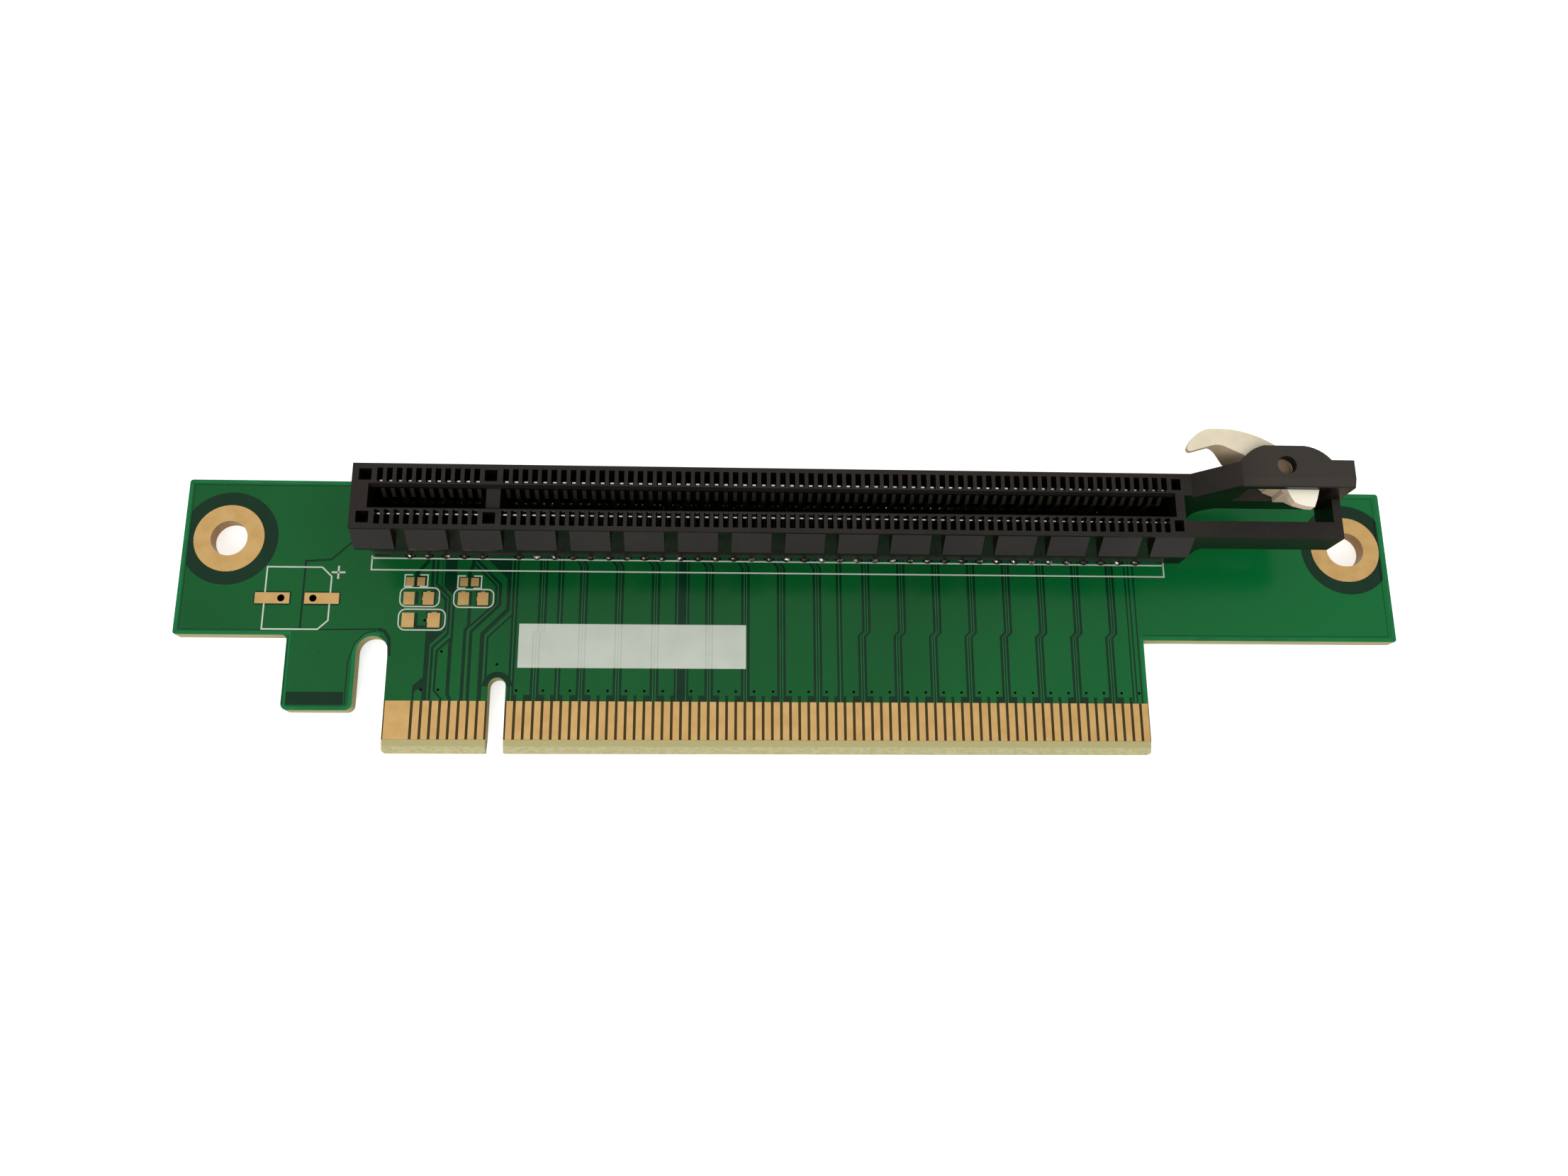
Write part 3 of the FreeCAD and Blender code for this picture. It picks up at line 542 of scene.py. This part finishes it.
# Gaps in the copper round the chip capacitors, on the left wing and on the guide tab: width and path.
LEFT_GAPS = (
    (0.36, ((-7.65, -3.3), (-7.65, -6.6), (-6.03, -8.2), (-6.03, -11.75))),
    (0.26, ((-7.18, -3.3), (-7.18, -6.4), (-5.64, -7.95), (-5.64, -12.05), (-7.21, -13.6),
            (-7.21, FINGER_REAR))),
    (0.1, ((-6.58, -3.3), (-6.58, -6.6), (-6.0, -7.3))),
    (0.26, ((-5.2, -12.5), (-6.72, -14.0), (-6.76, -18.4), (-5.95, -19.3), (-5.95, FINGER_REAR))),
    (0.36, ((-3.44, -9.0), (-3.44, -11.15), (-3.78, -11.65), (-3.78, FINGER_REAR))),
    (0.24, ((-3.4, -3.9), (-2.9, -4.3), (-0.95, -6.2), (-0.6, -6.6), (-0.6, -8.6), (-3.3, -11.2))),
    (0.34, ((-2.8, -3.3), (-2.8, -3.7), (-0.17, -6.4), (-0.17, -8.75), (-3.12, -11.8), (-3.12, FINGER_REAR))),
    (0.46, ((0.8, -5.5), (0.8, -9.25), (-1.88, -12.05), (-1.88, FINGER_REAR))),
    (0.22, ((1.2, -9.9), (-1.29, -12.45), (-1.29, -17.0))),
    (0.36, ((-13.2, -11.6), (-12.5, -11.8), (-11.95, -12.6), (-11.82, -14.6))),
    (0.34, ((-9.2, -9.7), (-9.2, -11.45))),
    (0.36, ((-9.3, -11.33), (-7.9, -11.33))),
    (0.34, ((-9.27, -7.3), (-9.27, -8.75))),
    (0.34, ((-3.43, -7.3), (-3.43, -8.75))),
    (0.4, ((-8.15, -3.3), (-8.3, -3.9), (-9.4, -5.2), (-9.4, -6.75))),
    (0.38, ((-3.2, -3.3), (-3.3, -4.3), (-3.64, -5.0), (-3.64, -6.75))),
    (0.22, ((-16.8, -1.7), (-18.9, -3.7), (-21.65, -3.9), (-21.65, -11.6))),
    (0.16, ((-21.7, -11.72), (-13.2, -11.6))),
    (0.1, ((-22.8, -12.3), (-22.8, -19.95))),
    (0.12, ((-16.2, -20.0), (-16.2, -15.2), (-15.6, -13.2), (-14.6, -12.1), (-13.4, -11.75))),
)
# Wider places without copper beside them, by their outlines.
LEFT_FIELDS = (
    ((-8.04, -11.8), (-5.95, -11.8), (-7.49, -13.35), (-7.49, -19.45), (-8.02, -19.45), (-8.02, -18.55),
     (-8.25, -18.25), (-8.65, -18.35), (-8.87, -18.65), (-8.87, -19.45), (-9.08, -19.45), (-9.08, -17.85),
     (-8.04, -16.95)),
    ((-6.36, -3.3), (-5.05, -3.3), (-5.05, -12.85), (-5.1, -13.1), (-5.1, -18.65), (-4.8, -19.45),
     (-5.2, -19.45), (-5.5, -18.8), (-5.5, -13.1), (-5.33, -12.45), (-5.33, -7.7), (-6.36, -6.65)),
    ((-1.5, -3.3), (1.02, -3.3), (1.02, -6.0), (0.6, -5.75), (-1.5, -3.7)),
)


GUIDE_BAR = (-22.45, -16.37, -20.02, -18.58)     # left, right, front and rear of the bar on the guide tab
NOTCH_ROUND_Y, NOTCH_REACH, NOTCH_WIDTH = -17.9, 1.32, 0.6
EDGE_LINE = 0.06
RIGHT_INSET = 0.85


def left_routing():
    """Gaps in the copper left of the key notch and round its end, and thin ones along the board's edges."""
    film = Film()
    for rank, (width, path) in enumerate(LEFT_GAPS):
        film.line(path, width, FILM + rank * FILM_STEP)
    for rank, points in enumerate(LEFT_FIELDS):
        film.outline(points, FILM - (rank + 1) * FILM_STEP)
    film.box(*GUIDE_BAR)
    half_circle = turns(48)[:25]
    round_notch = [(NOTCH_REACH * math.cos(turn), NOTCH_ROUND_Y + NOTCH_REACH * math.sin(turn))
                   for turn in half_circle]
    film.line(round_notch, NOTCH_WIDTH, TRACE + FILM_STEP)
    left, right = board_low.x + EDGE_INSET, board_high.x - RIGHT_INSET
    front, rear = WING_FRONT + EDGE_INSET, board_high.y - EDGE_INSET
    film.line([(GUIDE_LEFT, front), (left, front), (left, rear), (right, rear), (right, front),
               (TAB_RIGHT, front)], EDGE_LINE)
    film.build("copper_gaps_left", GAP)


# Traces seen a little paler than the mask round them.
TRACES = (
    ((-7.43, -3.3), (-7.43, -6.5), (-5.84, -8.05), (-5.82, -11.72), (-7.46, -13.32), (-7.46, FINGER_REAR)),
    ((-6.5, -3.3), (-6.47, -6.6), (-5.44, -7.69), (-5.43, -12.3), (-6.93, -13.83), (-6.93, -18.45),
     (-6.3, -19.3), (-6.3, FINGER_REAR)),
    ((-3.0, -3.77), (-0.95, -5.93), (-0.42, -6.5), (-0.4, -8.65), (-3.5, -11.75), (-3.48, FINGER_REAR)),
    ((1.05, -3.3), (1.05, -9.85), (-1.53, -12.35), (-1.51, FINGER_REAR)),
)
TRACE_WIDTH = 0.09
TRACE_OFFSET = 0.135      # from the middle of a pair to each of its traces


def traces():
    """Paler middles of the traces, between their dark lines."""
    film = Film()
    for path in TRACES:
        film.line(path, TRACE_WIDTH, TRACE)
    for x in SINGLE_PLACES + GUARD_PLACES:
        film.box(x - TRACE_WIDTH / 2, x + TRACE_WIDTH / 2, FINGER_REAR, HOUSING_FRONT, TRACE)
    for foot in PAIR_PLACES:
        for offset in (-TRACE_OFFSET, TRACE_OFFSET):
            film.line(pair_path(foot, offset), TRACE_WIDTH, TRACE)
    film.build("traces", COVERED_TRACE)


CLEAR_REACH = 5.35        # outer radius of the place without copper round a mounting hole
LAND_MARGIN = 0.16        # dark mask round the lands of the electrolytic capacitor
CHIP_MARGIN, CHIP_FRONT_MARGIN = 0.17, 0.14
LAND_LENGTH = 3.75        # one land of the electrolytic capacitor
LAND_ROUND = 0.35         # corners of the dark mask round it
SHADE_FRONT, SHADE_REAR = -2.3, 3.05
SHADE_LEFT, SHADE_RIGHT = PINS[0] - 0.6, PINS[-1] + 0.8


def hole_rings(film):
    """Dark rings without copper round the mounting holes, cut off near the ends of the board."""
    ring_y = (rings_low.y + rings_high.y) / 2
    inner = (rings_high.y - rings_low.y) / 2
    left, right = board_low.x + EDGE_INSET, board_high.x - EDGE_INSET
    film.ring(rings_low.x + inner, ring_y, inner, CLEAR_REACH, left, right)
    film.ring(rings_high.x - inner, ring_y, inner, CLEAR_REACH, left, right)


def clear_zones():
    """Dark mask where the board has no copper, on both faces."""
    film = Film()
    hole_rings(film)
    low, high = (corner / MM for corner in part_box("electrolytic_lands"))
    front, rear = low.y - LAND_MARGIN, high.y + LAND_MARGIN
    for left in (low.x, high.x - LAND_LENGTH):
        right = left + LAND_LENGTH
        film.outline(rounded_box(left - LAND_MARGIN, right + LAND_MARGIN, front, rear, LAND_ROUND))
    for size in ("large", "medium", "small"):
        for low, high in right_lands(size):
            film.box(low.x - CHIP_MARGIN, high.x + CHIP_MARGIN,
                     low.y - CHIP_FRONT_MARGIN, high.y + CHIP_MARGIN, LAND_FILM)
    film.build("clear_zones", CLEAR)
    under = Film(underside=True)
    hole_rings(under)
    under.build("clear_zones_bottom", CLEAR)


def shaded_board():
    """Painted shadow on the board inside the connector, under its cavities."""
    film = Film()
    film.box(SHADE_LEFT, SHADE_RIGHT, SHADE_FRONT, SHADE_REAR)
    film.build("shaded_board", PAINTED_SHADOW)


def vias():
    """Painted shade of small drilled holes, in a row behind the fingers and at the ends of the left traces.
    """
    film = Film()
    for x, y in (*((x, VIA_ROW) for x in VIA_PLACES), *LOOSE_VIAS):
        film.disc(x, y, VIA_RADIUS, VIA, 12)
    film.build("vias", PAINTED_SHADOW)


def rounded_box(left, right, front, rear, radius, steps=6):
    """Outline of a box with round corners."""
    points = []
    corners = ((right - radius, rear - radius), (left + radius, rear - radius),
               (left + radius, front + radius), (right - radius, front + radius))
    for quarter, (x, y) in enumerate(corners):
        for step in range(steps + 1):
            turn = (quarter + step / steps) * math.pi / 2
            points.append((x + radius * math.cos(turn), y + radius * math.sin(turn)))
    return points


# White print, in millimetres: boxes are given by their left, right, front and rear.
FIELD_LEFT, FIELD_RIGHT, FIELD_FRONT, FIELD_REAR = 2.1, 27.1, -15.82, -10.86
CONNECTOR_BOX = (-14.46, 74.93, -4.83, -3.49)
ELECTROLYTIC_OUTLINE = ((-25.76, -4.6), (-19.8, -4.6), (-18.7, -5.65), (-18.7, -10.65), (-19.75, -11.66),
                        (-25.76, -11.66))
PLUS_X, PLUS_Y, PLUS_HALF = -18.0, -5.17, 0.75
CHIP_BOXES = ((-11.09, -6.81, -9.01, -6.86), (-11.1, -6.03, -11.66, -9.31), (-5.22, -0.87, -9.06, -7.0))
SMALL_CHIP_BOXES = ((-10.69, -8.19, -6.72, -5.38), (-4.87, -2.29, -6.87, -5.46))
CHIP_ROUND = 0.32                      # corner of a chip's outline, as a share of its depth
BRACKET_LENGTH = 0.85                  # arms of the brackets round the small chip capacitors
WIDE_LINE, FINE_LINE, PLUS_LINE = 0.16, 0.14, 0.2


def white_print():
    """Outlines of the connector and the capacitors, the plus sign and the blank field."""
    film = Film()
    left, right, front, rear = CONNECTOR_BOX
    film.line([(left, HOUSING_FRONT), (left, front), (right, front), (right, HOUSING_FRONT)], WIDE_LINE, INK)
    film.line([(left, rear), (right, rear)], WIDE_LINE, INK)
    film.line(ELECTROLYTIC_OUTLINE, WIDE_LINE, INK, closed=True)
    film.line([(PLUS_X - PLUS_HALF, PLUS_Y), (PLUS_X + PLUS_HALF, PLUS_Y)], PLUS_LINE, INK)
    film.line([(PLUS_X, PLUS_Y + PLUS_HALF), (PLUS_X, PLUS_Y - PLUS_HALF)], PLUS_LINE, INK)
    for left, right, front, rear in CHIP_BOXES:
        outline = rounded_box(left, right, front, rear, (rear - front) * CHIP_ROUND)
        film.line(outline, FINE_LINE, INK, closed=True)
    for left, right, front, rear in SMALL_CHIP_BOXES:
        for end, arm in ((left, left + BRACKET_LENGTH), (right, right - BRACKET_LENGTH)):
            film.line([(arm, rear), (end, rear), (end, front), (arm, front)], FINE_LINE, INK)
    film.box(FIELD_LEFT, FIELD_RIGHT, FIELD_FRONT, FIELD_REAR, INK)
    film.build("white_print", PRINT)


def right_lands(size):
    """Near and far corners of the right-hand lands of the chip capacitors of one size."""
    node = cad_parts[f"{size}_capacitor_lands"]
    points = [node.matrix_world @ vertex.co / MM for vertex in node.data.vertices]
    edges = sorted({round(point.x, 2) for point in points})
    low, high = (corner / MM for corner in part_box(f"{size}_capacitor_lands"))
    for start, end in list(zip(edges, edges[1:]))[2::4]:
        yield Vector((start, low.y, 0)), Vector((end, high.y, 0))


REAR_TAB, SIDE_TAB = 0.1, 0.07                   # how far the tabs reach
REAR_TAB_HALVES = (("large", 0.27), ("medium", 0.2))
SIDE_TAB_HALF = 0.2
LEFT_TAB_START, LEFT_TAB_END = -4.42, -4.0       # the one tab of a left-hand land


def land_tabs():
    """Short ends of trace that leave the lands to the rear and to the side."""
    film = Film()
    for size, half in REAR_TAB_HALVES:
        for low, high in right_lands(size):
            x, y = (low.x + high.x) / 2, (low.y + high.y) / 2
            film.box(x - half, x + half, high.y, high.y + REAR_TAB, TAB)
            film.box(low.x - SIDE_TAB, low.x, y - SIDE_TAB_HALF, y + SIDE_TAB_HALF, TAB)
    low, high = next(right_lands("medium"))
    film.box(LEFT_TAB_START, LEFT_TAB_END, high.y, high.y + REAR_TAB, TAB)
    film.build("land_tabs", GOLD)


DRILL_SPREAD, DRILL_RADIUS = 1.73, 0.39


def drill_shadows():
    """Dark insides of the holes in the lands of the electrolytic capacitor."""
    film = Film()
    low, high = (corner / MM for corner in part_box("electrolytic_lands"))
    middle = (low.x + high.x) / 2
    for x in (middle - DRILL_SPREAD, middle + DRILL_SPREAD):
        film.disc(x, (low.y + high.y) / 2, DRILL_RADIUS, FILM, 24)
    film.build("drill_shadows", PAINTED_SHADOW)


def tail_places(underside):
    """Places of the contact tails that can be seen: all of them under the board, the outer rows above it."""
    for rank, x in enumerate(PINS):
        outer = rank % 2 == 1
        if underside or outer:
            away = OUTER_TAIL if outer else INNER_TAIL
            yield from ((x + PIN_SHIFT, side * away) for side in (-1, 1))


TAIL_LAND_RADIUS = 0.62
# Sections of the solder round a tail: radius, and distance from the board.
TOP_SOLDER = ((0.58, 0.0), (0.54, 0.12), (0.44, 0.24), (0.32, 0.33), (0.23, 0.38))
BOTTOM_SOLDER = ((0.56, 0.0), (0.42, 0.18), (0.32, 0.45), (0.24, 0.8), (0.1, 0.98))


def tail_lands():
    """Tinned rings round the tails on both faces; those on top carry a painted reflection of the black
    housing.
    """
    faces = ((False, "tail_lands_top", SOLDER_HOUSING_REFLECTION), (True, "tail_lands_bottom", SOLDER))
    for underside, name, finish in faces:
        film = Film(underside)
        for x, y in tail_places(underside):
            film.disc(x, y, TAIL_LAND_RADIUS, TINNED, 18)
        film.build(name, finish)


def solder_fillets():
    """Solder round each tail: low domes on top, with a painted reflection of the black housing, and taller
    concave cones underneath.
    """
    faces = ((False, "solder_top", TOP_SOLDER, SOLDER_HOUSING_REFLECTION), (True, "solder_bottom", BOTTOM_SOLDER, SOLDER))
    for underside, name, section, finish in faces:
        base, up = (UNDERSIDE, -1) if underside else (BOARD_TOP, 1)
        shape = bmesh.new()
        for x, y in tail_places(underside):
            add_turned(shape, x, y, [(radius, base + up * rise) for radius, rise in section], 14)
        bmesh.ops.recalc_face_normals(shape, faces=shape.faces)
        build_piece(name, shape, finish).data.shade_smooth()


def contact_tips():
    """Rolled ends of the contact strips, small rounded bars inside the cavities."""
    shape = bmesh.new()
    height = contacts_high.z - TIP_ROUND
    for pin in PINS:
        for y in (-TIP_Y, TIP_Y + REAR_TIP_SHIFT):
            left, right = (
                [shape.verts.new((x * MM, (y + TIP_ROUND * math.cos(turn)) * MM,
                                  (height + TIP_ROUND * math.sin(turn)) * MM)) for turn in turns(12)]
                for x in (pin + PIN_SHIFT - STRIP_HALF, pin + PIN_SHIFT + STRIP_HALF))
            join_rings(shape, left, right)
            shape.faces.new(left)
            shape.faces.new(right[::-1])
    bmesh.ops.recalc_face_normals(shape, faces=shape.faces)
    build_piece("contact_tips", shape, SPRING)


def join_rings(shape, near, far):
    """Faces between two rings of points."""
    for index in range(len(near)):
        after = (index + 1) % len(near)
        shape.faces.new((near[index], near[after], far[after], far[index]))


def add_turned(shape, x, y, section, steps):
    """Closed turned shape about an upright line."""
    rings = []
    for radius, z in section:
        rings.append([
            shape.verts.new(((x + radius * math.cos(turn)) * MM, (y + radius * math.sin(turn)) * MM, z * MM))
            for turn in turns(steps)])
    shape.faces.new(rings[0])
    shape.faces.new(rings[-1][::-1])
    for lower, upper in zip(rings, rings[1:]):
        join_rings(shape, lower, upper)


LEAST_BEND = 0.05     # smallest radius that an inset corner keeps


def round_corner(x, y, across, along, radius, inset):
    """Round corner of an outline, inset from it, from its upright side to its level side."""
    reach = max(radius, inset + LEAST_BEND)
    bend = reach - inset
    quarter = [math.pi / 2 * step / 5 for step in range(6)]
    return [(x + across * (reach - bend * math.cos(turn)), y + along * (reach - bend * math.sin(turn)))
            for turn in quarter]


def edge_path(inset):
    """Edge of the masked board, from the gap's round end to the right side of the finger tab."""
    low, high = board_low, board_high
    middle = (GUIDE_RIGHT + TAB_LEFT) / 2
    bend = GAP_HALF + inset
    over_the_top = turns(48)[9:25]    # from the upper right to the left
    return [
        *((middle + bend * math.cos(turn), GAP_ROUND_Y + bend * math.sin(turn)) for turn in over_the_top),
        *round_corner(GUIDE_RIGHT, GUIDE_FRONT, -1, 1, GUIDE_ROUND, inset),
        *round_corner(GUIDE_LEFT, GUIDE_FRONT, 1, 1, GUIDE_ROUND, inset)[::-1],
        (GUIDE_LEFT + inset, WING_FRONT + inset),
        *round_corner(low.x, WING_FRONT, 1, 1, CORNER_ROUND, inset)[::-1],
        *round_corner(low.x, high.y, 1, -1, CORNER_ROUND, inset),
        *round_corner(high.x, high.y, -1, -1, CORNER_ROUND, inset)[::-1],
        *round_corner(high.x, WING_FRONT, -1, 1, CORNER_ROUND, inset),
        (TAB_RIGHT - inset, WING_FRONT + inset), (TAB_RIGHT - inset, FINGER_REAR)]


def mask_rims():
    """Paler mask along the edges of the board, on both faces."""
    for underside, name in ((False, "mask_rim_top"), (True, "mask_rim_bottom")):
        film = Film(underside)
        film.line(edge_path(RIM_WIDTH / 2), RIM_WIDTH, RIM_FILM)
        film.build(name, RIM)


def print_relief():
    """Faint lines where the white field lies over the signal pairs."""
    film = Film()
    for foot in PAIR_PLACES:
        if FIELD_LEFT < foot < FIELD_RIGHT - 1:
            jog = JOG if foot < JOGGED_BEFORE else 0
            for offset, width in PAIR_LINES:
                x = foot + offset
                film.line([(x, FIELD_FRONT), (x, JOG_Y - JOG), (x + jog, JOG_Y), (x + jog, FIELD_REAR)],
                          width / 2, RELIEF_INK)
    film.build("print_relief", RELIEF)


mask_rims()
for underside in (False, True):
    copper_gaps(underside)
left_routing()
traces()
clear_zones()
shaded_board()
vias()
white_print()
print_relief()
land_tabs()
drill_shadows()
tail_lands()
solder_fillets()
contact_tips()


# ---------------------------------------------------------------- floor, light and camera

MIDDLE = Vector((0.03, 0, 0))     # where the lamp points, and the middle of the floor
FLOOR_HALF = 3.0
FLOOR_GAP = 0.0002                # between the floor and the ends of the tails
HORIZON, ZENITH = 0.35, 1.05      # strength of the light from the side and from overhead
LENS = 29.65
CAMERA_PLACE = (0.02379, -0.04446, 0.14151)
AZIMUTH, ELEVATION, ROLL = (math.radians(angle) for angle in (11.285, 74.544, 11.387))


def seen_directly(tree):
    """1 where a ray comes from the camera or from a reflection."""
    straight = add_node(tree, "ShaderNodeLightPath", {}, {}, "Is Camera Ray")
    return straight.either(Term(tree, straight.socket.node.outputs["Is Glossy Ray"]))


def floor():
    """Pale matt floor that the camera sees as white outside the shadows."""
    finish = Finish("floor_finish", Specular_IOR_Level=0.1, Roughness=0.9, Emission_Strength=0.6)
    finish.set("Base Color", finish.mix(finish.noise(60.0, 2.0), tone(240, 240, 239), tone(236, 236, 234)))
    finish.set("Emission Color", finish.mix(seen_directly(finish.tree), tone(0, 0, 0), tone(255, 255, 255)))
    shape = bmesh.new()
    bmesh.ops.create_grid(shape, x_segments=1, y_segments=1, size=FLOOR_HALF)
    mesh = bpy.data.meshes.new("floor")
    shape.to_mesh(mesh)
    shape.free()
    mesh.materials.append(finish.material)
    plane = bpy.data.objects.new("floor", mesh)
    plane.location = (MIDDLE.x, MIDDLE.y, contacts_low.z * MM - FLOOR_GAP)
    bpy.context.scene.collection.objects.link(plane)


def soft_light(name, place, side, power):
    """Square lamp that faces the middle of the board."""
    light = bpy.data.lights.new(name, "AREA")
    light.size = side
    light.energy = power
    lamp = bpy.data.objects.new(name, light)
    lamp.location = place
    lamp.rotation_euler = (MIDDLE - Vector(place)).to_track_quat("-Z", "Y").to_euler()
    lamp.visible_camera = False
    bpy.context.scene.collection.objects.link(lamp)


def surroundings():
    """Pale light from all round, stronger overhead, behind which the camera sees plain white."""
    world = bpy.data.worlds.new("studio")
    bpy.context.scene.world = world
    world.use_nodes = True
    tree = world.node_tree
    straight = add_node(tree, "ShaderNodeLightPath", {}, {}, "Is Camera Ray")
    height = add_node(tree, "ShaderNodeTexCoord", {}, {}, "Generated").parts()[2]
    sky = height.ramp(0.0, 1.0) * (ZENITH - HORIZON) + HORIZON
    plug(tree, tree.nodes["Background"].inputs["Color"], (1.0, 1.0, 1.0, 1.0))
    plug(tree, tree.nodes["Background"].inputs["Strength"], straight + (1 - straight) * sky)


def camera():
    """Camera almost over the board, looking down and a little to the rear."""
    data = bpy.data.cameras.new("camera")
    data.sensor_width = 36.0
    data.lens = LENS
    seen = bpy.data.objects.new("camera", data)
    seen.location = CAMERA_PLACE
    level_part = math.cos(ELEVATION)
    aim = Vector((math.sin(AZIMUTH) * level_part, math.cos(AZIMUTH) * level_part, -math.sin(ELEVATION)))
    level = aim.to_track_quat("-Z", "Y")
    seen.rotation_euler = (level @ Euler((0, 0, ROLL)).to_quaternion()).to_euler()
    bpy.context.scene.collection.objects.link(seen)
    bpy.context.scene.camera = seen


floor()
surroundings()
soft_light("window_light", (-0.15, -0.5, 0.5), 0.5, 2.4)
camera()
bpy.context.scene.view_settings.view_transform = "Standard"
